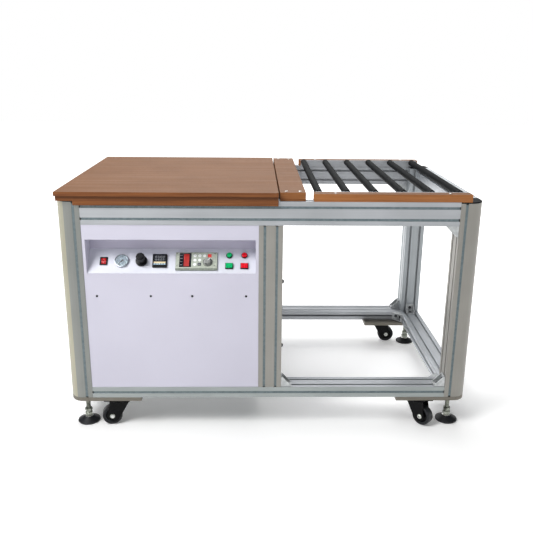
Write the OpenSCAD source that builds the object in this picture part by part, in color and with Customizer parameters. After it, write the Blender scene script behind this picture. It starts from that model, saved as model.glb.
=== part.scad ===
// Polarizer removal machine: a work table on a slotted aluminium frame.
// A film slot and a driven film roller sit between a work platform and a bed of idle rollers.
// Origin: middle of the bounding box in X and Y, on the floor. +X right, +Y to the rear, +Z up.

/* [Frame] */
// Width over the corner posts
frame_w = 1400; // [1100:1:1800]
// Depth over the corner posts
frame_d = 840; // [700:1:1100]
// Height from the underside of the bottom rails to the top of the top rails
frame_h = 702; // [600:1:900]
// Pitch of the slotted profile, also the depth of a rail
pitch = 40; // [36:0.5:45]
// Radius of the round outer corner of a corner post
corner_r = 46; // [20:1:60]
// Thickness of the plastic cap on a corner post
cap_t = 4; // [2:0.5:8]
// Centre of the middle posts from the middle of the frame
middle_post_x = 0; // [-60:1:60]

/* [Slots] */
// Width of a slot's mouth
slot_mouth = 8.2; // [6:0.1:9]
// Thickness of the lips beside the mouth
slot_lip = 4.5; // [3:0.1:6]
// Width of the hollow behind the lips
slot_hollow = 20; // [14:0.5:22]
// Width of the slot's floor
slot_floor = 10; // [6:0.5:14]
// Depth from the face to the slot's floor
slot_depth = 12; // [8:0.5:15]
// Thickness of a slot cover strip
cover_t = 2; // [1:0.1:4]
// Distance of a cover strip below the face
cover_sink = 0.4; // [0.1:0.1:1]
// Length of slot left open at the end of a cover strip
cover_end = 4; // [2:1:40]

/* [Foot plates] */
// Length of a foot plate along X
foot_plate_w = 250; // [180:1:320]
// Depth of a foot plate along Y
foot_plate_d = 120; // [90:1:160]
// Thickness of a foot plate
foot_plate_t = 14; // [6:0.5:16]
// Gap between the floor and the foot plates
ground_gap = 104; // [100:1:140]
// Distance of the feet from the frame's front and rear faces
foot_inset_y = 55; // [48:1:60]
// Distance of the feet from the frame's ends
foot_inset_x = 48; // [45:1:60]
// Distance of the casters from the frame's ends
caster_inset_x = 162; // [155:1:190]
// Distance of the casters from the frame's front and rear faces
caster_inset_y = 40; // [40:1:66]

/* [Levelling feet] */
// Radius of the stud
stud_r = 8; // [6:0.5:10]
// Length of stud above the foot plate's underside
stud_reach = 42; // [30:1:60]
// Radius of the pad
pad_r = 39; // [30:0.5:45]
// Height of the pad's straight rim
pad_rim = 7; // [4:0.5:12]
// Height of the whole pad
pad_h = 20; // [16:0.5:30]
// Width over the flats of the jam nut
nut_flats = 24; // [20:0.5:28]
// Thickness of the jam nut
nut_t = 14; // [8:0.5:16]

/* [Casters] */
// Radius of a caster wheel
wheel_r = 35; // [25:0.5:37]
// Width of a caster wheel
wheel_w = 28; // [20:0.5:34]
// Height of the wheels above the floor while the feet carry the machine
caster_lift = 0.8; // [0.5:0.1:5]
// Distance of the axle behind the swivel axis
caster_trail = 25; // [20:1:32]
// Thickness of a fork cheek
cheek_t = 4; // [2:0.5:6]
// Gap between the wheel and a cheek
wheel_gap = 2; // [1:0.1:4]
// Radius of the axle bolt
axle_r = 5; // [4:0.5:6]
// Length of a caster's top plate
caster_plate_l = 92; // [80:1:100]
// Width of a caster's top plate
caster_plate_w = 76; // [64:1:82]
// Thickness of a caster's top plate
caster_plate_t = 4; // [3:0.5:6]
// Directions in which the four casters trail: front left, front right, rear left, rear right
caster_turns = [190, -45, 160, 0];

/* [Platform] */
// Thickness of the upper platform board
board_t = 14; // [10:0.5:20]
// Thickness of the lower platform board
base_t = 16; // [10:0.5:20]
// Distance of the platform's left edge from the end of the frame
platform_inset = 4; // [0:1:20]
// Right edge of the platform from the middle of the frame
platform_edge_x = 23; // [10:1:29]
// Distance by which the platform stands out in front of the frame
platform_lip = 13; // [6:0.5:20]
// Distance of the platform's rear edge from the rear face of the frame
platform_rear = 10; // [0:1:30]
// Distance by which the lower board is set back under the upper one
base_inset = 4; // [1:0.5:8]
// Height of the apron that hangs in front of the top rail
apron_h = 14; // [6:1:30]
// Distance of the apron's left end from the end of the frame
apron_start = 62; // [30:1:120]
// Width of the film slot between platform and transfer board
film_slot_w = 5; // [4.6:0.1:8]
// Width of the transfer board
transfer_w = 84.5; // [60:0.5:87]
// Thickness of the transfer board
transfer_t = 28; // [20:0.5:30]
// Distance of the transfer board's ends from the frame's front and rear faces
transfer_inset = 8; // [2:1:20]

/* [Suction field] */
// Length of the heated suction field
field_w = 330; // [200:1:420]
// Depth of the heated suction field
field_d = 220; // [150:1:300]
// Radius of a suction hole
suction_r = 1.5; // [1:0.1:3]
// Holes along the length
suction_nx = 6; // [3:1:8]
// Holes along the depth
suction_ny = 4; // [2:1:6]
// Thickness of the silicone heater mat
heater_t = 1.5; // [1:0.1:3]
// Height of the air gap over the heater mat
plenum_h = 1.5; // [1:0.1:3]

/* [Roller bed] */
// Width of the roller bed boards
bed_w = 517; // [440:1:560]
// Right end of the roller bed from the end of the frame
bed_inset = 44; // [20:1:80]
// Thickness of the roller bed boards
bed_t = 25; // [24:0.5:32]
// Number of idle rollers
roller_n = 6; // [6:1:6]
// Radius of an idle roller
roller_r = 12.5; // [8:0.5:14]
// Distance of the first roller's axis from the left end of the boards
roller_start = 19.5; // [16:0.5:30]
// Distance between roller axes
roller_pitch = 93.8; // [80:0.1:94]
// Radius of a roller's journal
journal_r = 4; // [3:0.5:5]
// Thickness of the aluminium strip inside each board
strip_t = 6; // [3:0.5:10]
// Distance of the strip's ends from the ends of the boards
strip_inset = 7; // [3:0.5:12]

/* [Film drive] */
// Radius of the film roller
film_r = 26; // [15:0.5:28]
// Distance of the film roller's axis to the right of the platform's edge
film_offset = 36; // [34:1:45]
// Depth of the film roller's axis below the top rails' top face
film_drop = 45; // [40:0.5:48]
// Radius of the film roller's shaft
shaft_r = 10; // [8:0.5:12]
// Radius of the pulley on the film roller
film_pulley_r = 30; // [20:0.5:31]
// Radius of the motor pulley
motor_pulley_r = 15; // [12:0.5:20]
// Width of a pulley
pulley_w = 16; // [12:0.5:20]
// Width of the belt
belt_w = 12; // [8:0.5:14]
// Thickness of the belt
belt_t = 3; // [1.5:0.1:4]
// Distance from the motor's axis to the film roller's axis
belt_centres = 168; // [150:1:220]
// Width and height of the gearbox
gearbox_w = 80; // [70:1:84]
// Length of the gearbox
gearbox_l = 90; // [60:1:120]
// Radius of the motor
motor_r = 38; // [30:1:39]
// Length of the motor
motor_l = 120; // [90:1:160]

/* [Cabinet] */
// Thickness of the cabinet's sheets
sheet_t = 2; // [1:0.1:3]
// Distance of the front panel behind the front face of the frame
panel_sink = 1.5; // [0.5:0.1:4]
// Distance of the left and rear panels behind the frame's faces
side_sink = 10; // [4:0.5:14]
// Height of the panel band over the control recess
recess_drop = 50; // [40:1:80]
// Height of the control recess
recess_h = 119; // [115:1:150]
// Distance of the recess from the posts beside it
recess_side = 10; // [6:0.5:20]
// Depth of the recess
recess_d = 68; // [62:1:80]
// Height of the upright wall behind the recess
recess_wall = 48; // [46:1:60]
// Width of the tray's flange behind the front panel
tray_flange = 11; // [6:0.5:16]
// Distance of the row of panel screws below the recess
screw_drop = 76; // [50:1:120]
// Places of the panel screws along the panel, as shares of its width
screw_place_shares = [0.0657, 0.376, 0.6155, 0.9276];

/* [Instruments] */
// Height of the instruments' centre line along the sloped plate
row_s = 50; // [48:0.5:52]
// Rocker switch: centre from the recess's left end
rocker_x = 51; // [30:1:60]
// Rocker switch: width and height of its frame
rocker_size = [26, 30];
// Pressure gauge: centre from the recess's left end
gauge_x = 111.5; // [95:0.5:120]
// Pressure gauge: radius of its case
gauge_r = 24; // [18:0.5:26]
// Regulator: centre from the recess's left end
regulator_x = 177; // [160:0.5:185]
// Regulator: radius of the collar and of the knob
regulator_radii = [19.5, 14.5];
// Regulator: height of the knob above the plate
regulator_h = 38; // [20:0.5:42]
// Temperature controller: centre from the recess's left end
controller_x = 238.5; // [225:0.5:245]
// Temperature controller: width of its square face
controller_w = 48; // [44:0.5:50]
// Speed keypad: centre from the recess's left end
keypad_x = 361.5; // [345:0.5:370]
// Speed keypad: width and height
keypad_size = [140, 66];
// Green buttons: centre from the recess's left end
green_x = 471; // [455:0.5:480]
// Red buttons: centre from the recess's left end
red_x = 522; // [510:0.5:530]
// Round buttons: height along the slope
round_s = 72; // [68:0.5:76]
// Rectangular buttons: height along the slope
square_s = 32; // [26:0.5:36]
// Round buttons: radius of the cap
round_r = 8.5; // [6:0.5:10]
// Rectangular buttons: width and height of the cap
square_size = [22.5, 17];
// Travel of the push buttons
button_travel = 3; // [2:0.1:4]

/* [Hidden] */
$fn = 48;

// Overrun of every cutting shape, and the clearances of the fits
cut = 1;
running_gap = 0.05;
moving_gap = 0.3;

pulley_inset = 38;

// Heights
plate_z = ground_gap;
frame_z = ground_gap + foot_plate_t;
rail_top_z = frame_z + frame_h;
post_w = 2 * pitch;
post_top_z = rail_top_z - cap_t;
top_rail_z = rail_top_z - post_w;
low_rail_top_z = frame_z + pitch;
platform_top_z = rail_top_z + base_t + board_t;

// Plan
half_w = frame_w / 2;
half_d = frame_d / 2;
datum_y = platform_lip / 2;
inner_x = half_w - post_w;
inner_y = half_d - post_w;
rail_in_y = half_d - pitch;
transfer_x = platform_edge_x + film_slot_w;
bed_x = half_w - bed_inset - bed_w;
roller_z = platform_top_z - roller_r;
film_x = platform_edge_x + film_offset;
film_z = rail_top_z - film_drop;
motor_x = film_x - belt_centres;
pulley_y = rail_in_y - pulley_inset;
bay_left = middle_post_x - pitch;

// Small parts
roller_end_gap = 2.5;
roller_side_gap = 5;
bush_r = 6;
bush_l = 22;
bush_flange_r = 8;
bush_flange_t = 1.5;
gusset_l = 38;
gusset_w = 36;
gusset_t = 5;
gusset_web = 4;
gusset_bolt_at = 22;
bolt_head_r = 6.5;
bolt_head_h = 4.4;
bolt_socket = 5;
bolt_band_share = 0.55;
bolt_top_share = 0.62;
bolt_floor_share = 0.4;
side_bolt_h = 6;
side_bolt_shares = [0.66, 0.26];
screw_head_r = 5;
screw_head_h = 1.4;
panel_screw_r = 4;
bed_screw_shares = [0.137, 0.865];
transfer_screw_shares = [0.25, 0.78];
transfer_screw_inset = 32;
swivel_ring_r = 24;
swivel_ring_h = 5;
crown_r = 30;
crown_h = 5;
cheek_r = 16;
cheek_front = 30;
cheek_rear = 32;
cheek_blend = 2;
axle_head_r = 8.5;
axle_head_t = 4;
wheel_edge = 2;
wheel_boss_r = 10;
wheel_web_sink = 3;
wheel_slope = 2;
tyre_h = 9;
foot_bore_r = stud_r + 2;
foot_bore_l = 62;
pad_neck_r = 15.5;
pad_flange_t = 3;
neck_r = 11.5;
pad_bevel = 1;
pad_shoulder = 2;
block_hub_r = 20;
block_hub_l = 22;
block_plate_t = 8;
block_plate_w = 88;
block_plate_h = 56;
motor_shaft_r = 7.5;
bracket_t = 6;
bracket_w = 96;
tray_t = 2;
tray_gap = 3;
panel_head_gap = 5;
inlet_w = 50;
inlet_h = 30;
inlet_t = 6;
inlet_body_l = 18;
inlet_x = 120;
inlet_z = 70;
air_r = 9;
air_t = 16;
air_x = 200;
valve_size = [90, 46, 52];
valve_coil_r = 16;
valve_coil_h = 40;
valve_place_share = 0.3;
port_r = 5;
pocket_margin = 6;
field_margin = 24;

// Control recess: the sloped plate runs from the panel's front face up to the upright wall
panel_x0 = -inner_x;
panel_x1 = bay_left;
panel_w = panel_x1 - panel_x0;
panel_y = -half_d + panel_sink;
recess_x0 = panel_x0 + recess_side;
recess_x1 = panel_x1 - recess_side;
recess_w = recess_x1 - recess_x0;
recess_top_z = top_rail_z - recess_drop;
slope_z = recess_top_z - recess_h;
slope_rise = recess_h - recess_wall;
slope_run = recess_d;
slope_l = sqrt(slope_rise * slope_rise + slope_run * slope_run);
slope_a = atan2(slope_rise, slope_run);
bezel_t = 3;
housing_inset = 8;
face_t = 2;
neck_clear = 0.5;
plate_t = sheet_t;
// Height above the slope's lower edge where the sloped face leaves the panel's rear face
slope_foot = (panel_sink + sheet_t) * slope_rise / slope_run;

// Moves the part so that the origin is the middle of its bounding box
module at_datum() {
  translate([0, datum_y, 0]) children();
}

// A box from its lowest to its highest corner
module block(lo, hi) {
  translate(lo) cube([hi[0] - lo[0], hi[1] - lo[1], hi[2] - lo[2]]);
}

// A square-edged outline centred on the origin
module centred_bar(w, h, t) {
  translate([-w / 2, -h / 2, 0]) cube([w, h, t]);
}

// One T-slot, its mouth on the X axis, cut downwards
module slot_2d() {
  polygon([[-slot_mouth / 2, cut], [slot_mouth / 2, cut], [slot_mouth / 2, -slot_lip],
    [slot_hollow / 2, -slot_lip], [slot_hollow / 2, -slot_lip - cover_t],
    [slot_floor / 2, -slot_depth], [-slot_floor / 2, -slot_depth],
    [-slot_hollow / 2, -slot_lip - cover_t], [-slot_hollow / 2, -slot_lip],
    [-slot_mouth / 2, -slot_lip]]);
}

// A slotted profile of nx by ny pitches, its lower left corner on the origin
module profile_2d(nx, ny) {
  difference() {
    square([nx * pitch, ny * pitch]);
    for (i = [0:nx - 1]) {
      translate([(i + 0.5) * pitch, ny * pitch]) slot_2d();
      translate([(i + 0.5) * pitch, 0]) rotate(180) slot_2d();
    }
    for (j = [0:ny - 1]) {
      translate([nx * pitch, (j + 0.5) * pitch]) rotate(-90) slot_2d();
      translate([0, (j + 0.5) * pitch]) rotate(90) slot_2d();
    }
  }
}

// A corner post's outline with its round outer corner at the origin's side
module post_2d() {
  difference() {
    square([post_w, post_w]);
    difference() {
      translate([-cut, -cut]) square([corner_r + cut, corner_r + cut]);
      translate([corner_r, corner_r]) circle(corner_r);
    }
    translate([1.5 * pitch, 0]) rotate(180) slot_2d();
    translate([0, 1.5 * pitch]) rotate(90) slot_2d();
    for (i = [0, 1]) {
      translate([(i + 0.5) * pitch, post_w]) slot_2d();
      translate([post_w, (i + 0.5) * pitch]) rotate(-90) slot_2d();
    }
  }
}

// Places children in the frame's four corners, drawn for the front left one
module corners() {
  for (sx = [0, 1])
    for (sy = [0, 1])
      mirror([sx, 0, 0]) mirror([0, sy, 0]) translate([-half_w, -half_d, 0]) children();
}

module corner_posts() {
  color("gainsboro") at_datum() corners() difference() {
    translate([0, 0, frame_z]) linear_extrude(post_top_z - frame_z) post_2d();
    translate([foot_inset_x, foot_inset_y, frame_z - cut]) cylinder(h = foot_bore_l + cut, r = foot_bore_r);
  }
}

module middle_posts() {
  color("gainsboro") at_datum() for (sy = [0, 1])
    mirror([0, sy, 0]) translate([middle_post_x - pitch, -half_d, low_rail_top_z])
      linear_extrude(top_rail_z - low_rail_top_z) profile_2d(2, 1);
}

// A rail along X, its lower front left corner on the origin
module rail_x(length, ny, nz) {
  translate([length, 0, 0]) rotate([90, 0, -90]) linear_extrude(length) profile_2d(ny, nz);
}

module top_rails() {
  color("gainsboro") at_datum() {
    for (sy = [0, 1])
      mirror([0, sy, 0]) translate([-inner_x, -rail_in_y, top_rail_z]) rail_x(2 * inner_x, 1, 2);
    for (sx = [0, 1])
      mirror([sx, 0, 0]) translate([half_w, -inner_y, top_rail_z]) rotate([0, 0, 90])
        translate([0, pitch, 0]) rail_x(2 * inner_y, 1, 2);
  }
}

module bottom_rails() {
  color("silver") at_datum() {
    for (sy = [0, 1])
      mirror([0, sy, 0]) translate([-inner_x, -inner_y, frame_z]) rail_x(2 * inner_x, 2, 1);
    for (sx = [0, 1])
      mirror([sx, 0, 0]) translate([half_w, -inner_y, frame_z]) rotate([0, 0, 90])
        translate([0, post_w, 0]) rail_x(2 * inner_y, 2, 1);
  }
}

module rounded_corner_2d(w, d) {
  difference() {
    square([w, d]);
    difference() {
      translate([-cut, -cut]) square([corner_r + cut, corner_r + cut]);
      translate([corner_r, corner_r]) circle(corner_r);
    }
  }
}

module post_caps() {
  color("dimgray") at_datum() corners() translate([0, 0, post_top_z])
    linear_extrude(cap_t) rounded_corner_2d(post_w, post_w);
}

// A strip that closes a slot, drawn along Z with its outer face on the XZ plane
module cover_strip(length) {
  translate([-slot_mouth / 2 + running_gap, cover_sink, 0])
    cube([slot_mouth - 2 * running_gap, cover_t, length]);
}

module slot_covers() {
  post_l = post_top_z - frame_z - 2 * cover_end;
  mid_l = top_rail_z - low_rail_top_z - 2 * cover_end;
  rail_l = 2 * inner_x - 2 * cover_end;
  color("slategray") at_datum() translate([0, -half_d, 0]) {
    for (sx = [0, 1])
      mirror([sx, 0, 0]) translate([-half_w + 1.5 * pitch, 0, frame_z + cover_end]) cover_strip(post_l);
    for (side = [-1, 1])
      translate([middle_post_x + side * pitch / 2, 0, low_rail_top_z + cover_end]) cover_strip(mid_l);
    for (z = [top_rail_z + 0.5 * pitch, top_rail_z + 1.5 * pitch, frame_z + 0.5 * pitch])
      translate([-rail_l / 2, 0, z]) rotate([0, 90, 0]) cover_strip(rail_l);
  }
}

module foot_plates() {
  color("silver") at_datum() corners() translate([0, 0, plate_z]) difference() {
    linear_extrude(foot_plate_t) rounded_corner_2d(foot_plate_w, foot_plate_d);
    translate([foot_inset_x, foot_inset_y, -cut])
      cylinder(h = foot_plate_t + 2 * cut, r = stud_r + running_gap);
  }
}

// A cast corner bracket: legs along +X and +Z from the corner, its width centred on Y
module gusset() {
  rotate([90, 0, 0]) translate([0, 0, -gusset_w / 2]) difference() {
    linear_extrude(gusset_w)
      polygon([[0, 0], [gusset_l, 0], [gusset_l, gusset_t], [gusset_t, gusset_l], [0, gusset_l]]);
    translate([gusset_t, gusset_t, gusset_web]) cube([gusset_l, gusset_l, gusset_w - 2 * gusset_web]);
  }
}

// A button-head bolt with a hexagon socket, its seat on the XY plane
module bolt_head(h = bolt_head_h) {
  difference() {
    union() {
      cylinder(h = h * bolt_band_share, r = bolt_head_r);
      translate([0, 0, h * bolt_band_share])
        cylinder(h = h * (1 - bolt_band_share), r1 = bolt_head_r, r2 = bolt_head_r * bolt_top_share);
    }
    translate([0, 0, h * bolt_floor_share]) cylinder(h = h, r = bolt_socket / 2, $fn = 6);
  }
}

module gusset_bolts() {
  for (turn = [0, 1])
    rotate([0, turn * 90, 0]) mirror([turn, 0, 0])
      translate([gusset_bolt_at, 0, gusset_t]) bolt_head();
}

// Every corner that a gusset joins: in the open bay, on the side rails, and flat between the bottom rails
module gusset_places() {
  slot_y = half_d - pitch / 2;
  for (sy = [0, 1]) mirror([0, sy, 0]) {
    for (sx = [0, 1]) mirror([sx, 0, 0]) {
      translate([inner_x, -inner_y, frame_z + pitch / 2]) rotate([-90, 0, 0]) mirror([1, 0, 0]) children();
      translate([half_w - pitch, -inner_y, low_rail_top_z]) rotate([0, 0, 90]) children();
    }
    translate([inner_x, -slot_y, low_rail_top_z]) mirror([1, 0, 0]) children();
    translate([inner_x, -slot_y, top_rail_z]) rotate([0, 180, 0]) children();
    translate([middle_post_x + pitch, -slot_y, low_rail_top_z]) children();
  }
}

module gussets() {
  color("silver") at_datum() gusset_places() gusset();
}

module frame_bolts() {
  color("lightgray") at_datum() {
    gusset_places() gusset_bolts();
    for (share = side_bolt_shares)
      translate([middle_post_x + pitch, -half_d + pitch / 2,
        low_rail_top_z + share * (top_rail_z - low_rail_top_z)])
        rotate([0, 90, 0]) bolt_head(side_bolt_h);
  }
}

// Work platform
module platform_2d(inset) {
  translate([-half_w + platform_inset + inset, -half_d - platform_lip + inset])
    square([half_w - platform_inset + platform_edge_x - inset,
      frame_d + platform_lip - platform_rear - 2 * inset]);
}

field_x = (-half_w + platform_edge_x) / 2;

module suction_places() {
  for (i = [0:suction_nx - 1])
    for (j = [0:suction_ny - 1])
      translate([field_x + (i / (suction_nx - 1) - 0.5) * (field_w - field_margin),
        (j / (suction_ny - 1) - 0.5) * (field_d - field_margin), 0]) children();
}

module platform_board() {
  color("tan") at_datum() difference() {
    translate([0, 0, rail_top_z + base_t]) linear_extrude(board_t) platform_2d(0);
    suction_places() translate([0, 0, rail_top_z])
      cylinder(h = base_t + board_t + cut, r = suction_r, $fn = 16);
  }
}

module platform_base() {
  pocket_h = heater_t + plenum_h;
  apron_y = -half_d - platform_lip + base_inset;
  color("peru") at_datum() difference() {
    union() {
      translate([0, 0, rail_top_z]) linear_extrude(base_t) platform_2d(base_inset);
      block([-half_w + apron_start, apron_y, rail_top_z - apron_h],
        [platform_edge_x, -half_d, rail_top_z + base_t]);
    }
    translate([field_x, 0, rail_top_z + base_t - pocket_h]) centred_bar(field_w, field_d, pocket_h + cut);
    translate([field_x, 0, rail_top_z - cut]) cylinder(h = base_t + 2 * cut, r = port_r);
  }
}

module heater_mat() {
  color("orangered") at_datum() difference() {
    translate([field_x, 0, rail_top_z + base_t - heater_t - plenum_h])
      centred_bar(field_w - pocket_margin, field_d - pocket_margin, heater_t);
    translate([field_x, 0, rail_top_z]) cylinder(h = base_t, r = port_r);
  }
}

module transfer_board() {
  color("tan") at_datum()
    block([transfer_x, -half_d + transfer_inset, rail_top_z],
      [transfer_x + transfer_w, half_d - transfer_inset, rail_top_z + transfer_t]);
}

// Roller bed
module roller_places() {
  for (i = [0:roller_n - 1])
    translate([bed_x + roller_start + i * roller_pitch, 0, roller_z]) children();
}

// A cylinder along Y from y0 to y1
module rod_y(y0, y1, r) {
  translate([0, y1, 0]) rotate([90, 0, 0]) cylinder(h = y1 - y0, r = r);
}

module roller_boards() {
  color("peru") at_datum() for (sy = [0, 1])
    mirror([0, sy, 0]) difference() {
      block([bed_x, -half_d, rail_top_z], [bed_x + bed_w, -rail_in_y, rail_top_z + bed_t]);
      roller_places() rod_y(-rail_in_y - bush_l + strip_t, -rail_in_y + cut, bush_r + running_gap);
    }
}

module bearing_strips() {
  color("silver") at_datum() for (sy = [0, 1])
    mirror([0, sy, 0]) difference() {
      block([bed_x + strip_inset, -rail_in_y, rail_top_z],
        [bed_x + bed_w - strip_inset, -rail_in_y + strip_t, rail_top_z + bed_t]);
      roller_places() rod_y(-rail_in_y - cut, -rail_in_y + strip_t + cut, bush_r + running_gap);
    }
}

module bearings() {
  strip_y = -rail_in_y + strip_t;
  color("darkgray") at_datum() for (sy = [0, 1]) mirror([0, sy, 0]) {
    roller_places() difference() {
      union() {
        rod_y(strip_y - bush_l + 2 * running_gap, strip_y, bush_r);
        rod_y(strip_y, strip_y + bush_flange_t, bush_flange_r);
      }
      rod_y(strip_y - bush_l - cut, strip_y + bush_flange_t + cut, journal_r + running_gap);
    }
    translate([film_x, 0, film_z]) difference() {
      union() {
        block([-block_plate_w / 2, -rail_in_y, -block_plate_h / 2],
          [block_plate_w / 2, -rail_in_y + block_plate_t, block_plate_h / 2]);
        rod_y(-rail_in_y, -rail_in_y + block_hub_l, block_hub_r);
      }
      rod_y(-rail_in_y - cut, -rail_in_y + block_hub_l + cut, shaft_r + running_gap);
    }
  }
}

// One idle roller: a rubber-covered tube on two journals
module idle_roller(i) {
  body_y = rail_in_y - strip_t - roller_end_gap - bush_flange_t;
  journal_y = rail_in_y - strip_t + bush_l - roller_side_gap;
  color("dimgray") at_datum()
    translate([bed_x + roller_start + i * roller_pitch, 0, roller_z]) {
      rod_y(-body_y, body_y, roller_r);
      rod_y(-journal_y, journal_y, journal_r);
    }
}

module idle_roller_1() { idle_roller(0); }
module idle_roller_2() { idle_roller(1); }
module idle_roller_3() { idle_roller(2); }
module idle_roller_4() { idle_roller(3); }
module idle_roller_5() { idle_roller(4); }
module idle_roller_6() { idle_roller(5); }

// Film drive
module film_roller() {
  roller_y0 = -rail_in_y + block_hub_l + roller_side_gap;
  roller_y1 = pulley_y - pulley_w / 2 - roller_side_gap;
  color("lightgray") at_datum() translate([film_x, 0, film_z]) {
    rod_y(roller_y0, roller_y1, film_r);
    rod_y(-rail_in_y + running_gap, rail_in_y - running_gap, shaft_r);
    rod_y(pulley_y - pulley_w / 2, pulley_y + pulley_w / 2, film_pulley_r);
  }
}

module motor_pulley() {
  gear_y = pulley_y - pulley_w;
  color("darkgray") at_datum() translate([motor_x, 0, film_z]) {
    rod_y(gear_y - gearbox_l / 2, pulley_y + pulley_w / 2, motor_shaft_r);
    rod_y(pulley_y - pulley_w / 2, pulley_y + pulley_w / 2, motor_pulley_r);
  }
}

module geared_motor() {
  gear_y = pulley_y - pulley_w;
  color("slategray") at_datum() translate([motor_x, 0, film_z]) difference() {
    union() {
      block([-gearbox_w / 2, gear_y - gearbox_l, -gearbox_w / 2], [gearbox_w / 2, gear_y, gearbox_w / 2]);
      rod_y(gear_y - gearbox_l - motor_l, gear_y - gearbox_l, motor_r);
    }
    rod_y(gear_y - gearbox_l / 2 - moving_gap, gear_y + cut, motor_shaft_r + running_gap);
  }
}

module belt_2d(grow) {
  hull() {
    circle(film_pulley_r + grow, $fn = 64);
    translate([-belt_centres, 0]) circle(motor_pulley_r + grow, $fn = 64);
  }
}

module drive_belt() {
  color("black") at_datum() translate([film_x, pulley_y + belt_w / 2, film_z]) rotate([90, 0, 0])
    linear_extrude(belt_w) difference() {
      belt_2d(moving_gap + belt_t);
      belt_2d(moving_gap);
    }
}

module equipment_mounts() {
  shelf_z = film_z - gearbox_w / 2 - bracket_t;
  gear_y = pulley_y - pulley_w;
  color("gainsboro") at_datum() {
    block([panel_x0 + tray_gap, -rail_in_y + tray_gap, low_rail_top_z],
      [middle_post_x - tray_gap, rail_in_y - tray_gap, low_rail_top_z + tray_t]);
    translate([motor_x, 0, 0]) {
      block([-bracket_w / 2, gear_y - gearbox_l, shelf_z], [bracket_w / 2, rail_in_y, shelf_z + bracket_t]);
      block([-bracket_w / 2, rail_in_y - bracket_t, shelf_z],
        [bracket_w / 2, rail_in_y, film_z + gearbox_w / 4]);
    }
  }
}

module vacuum_valve() {
  x0 = panel_x0 + panel_w * valve_place_share;
  z0 = low_rail_top_z + tray_t;
  color("lightsteelblue") at_datum() translate([x0, 0, z0]) difference() {
    union() {
      centred_bar(valve_size[0], valve_size[1], valve_size[2]);
      translate([-valve_size[0] / 4, 0, valve_size[2]]) cylinder(h = valve_coil_h, r = valve_coil_r);
    }
    translate([valve_size[0] / 4, 0, valve_size[2] / 2]) cylinder(h = valve_size[2], r = port_r);
  }
}

// Cabinet
module front_panel() {
  color("lavender") at_datum() difference() {
    block([panel_x0, panel_y, low_rail_top_z], [panel_x1, panel_y + sheet_t, top_rail_z]);
    block([recess_x0, panel_y - cut, slope_z + slope_foot],
      [recess_x1, panel_y + sheet_t + cut, recess_top_z]);
  }
}

// Side view of the recess: the space in front of the tray, grown by the sheet's thickness
module recess_2d(grow) {
  back_y = slope_run + grow;
  n_y = slope_rise / slope_l * grow;
  n_z = slope_run / slope_l * grow;
  foot_y = panel_sink;
  low_z = (foot_y - n_y) * slope_rise / slope_run - n_z;
  bend_z = (back_y - n_y) * slope_rise / slope_run - n_z;
  polygon([[foot_y, low_z], [back_y, bend_z], [back_y, recess_h + grow], [foot_y, recess_h + grow]]);
}

module on_slope(x, s) {
  translate([recess_x0 + x, -half_d, slope_z]) rotate([slope_a, 0, 0]) translate([0, s, 0]) children();
}

module instrument_tray() {
  rear_y = -half_d + panel_sink + sheet_t;
  color("lavender") at_datum() difference() {
    union() {
      difference() {
        translate([recess_x1 + plate_t, -half_d, slope_z]) rotate([90, 0, -90])
          linear_extrude(recess_w + 2 * plate_t) mirror([1, 0]) recess_2d(plate_t);
        translate([recess_x1, -half_d, slope_z]) rotate([90, 0, -90])
          linear_extrude(recess_w) mirror([1, 0]) recess_2d(0);
      }
      difference() {
        block([recess_x0 - tray_flange + plate_t, rear_y, slope_z - tray_flange],
          [recess_x1 + tray_flange - plate_t, rear_y + plate_t, recess_top_z + tray_flange]);
        block([recess_x0, rear_y - cut, slope_z + slope_foot - plate_t / 2],
          [recess_x1, rear_y + plate_t + cut, recess_top_z]);
      }
    }
    block([recess_x0 - cut - tray_flange, -half_d - cut, slope_z - tray_flange * 2],
      [recess_x1 + cut + tray_flange, rear_y, recess_top_z + tray_flange * 2]);
    on_slope(rocker_x, row_s) translate([0, 0, -plate_t - cut])
      centred_bar(rocker_size[0] - 2 * bezel_t, rocker_size[1] - 2 * bezel_t, plate_t + 2 * cut);
    on_slope(gauge_x, row_s) translate([0, 0, -plate_t - cut])
      cylinder(h = plate_t + 2 * cut, r = gauge_r - face_t + neck_clear);
    on_slope(regulator_x, row_s) translate([0, 0, -plate_t - cut])
      cylinder(h = plate_t + 2 * cut, r = regulator_neck_r + neck_clear);
    on_slope(controller_x, row_s) translate([0, 0, -plate_t - cut])
      centred_bar(controller_w - face_t, controller_w - face_t, plate_t + 2 * cut);
    on_slope(keypad_x, keypad_s) translate([0, 0, -plate_t - cut])
      centred_bar(keypad_size[0] - housing_inset, keypad_size[1] - housing_inset, plate_t + 2 * cut);
    for (x = [green_x, red_x]) {
      on_slope(x, round_s) translate([0, 0, -plate_t - cut])
        cylinder(h = plate_t + 2 * cut, r = button_neck_r + neck_clear);
      on_slope(x, square_s) translate([0, 0, -plate_t - cut])
        centred_bar(square_size[0] - square_neck + 2 * neck_clear,
          square_size[1] - square_neck + 2 * neck_clear,
          plate_t + 2 * cut);
    }
  }
}

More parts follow.
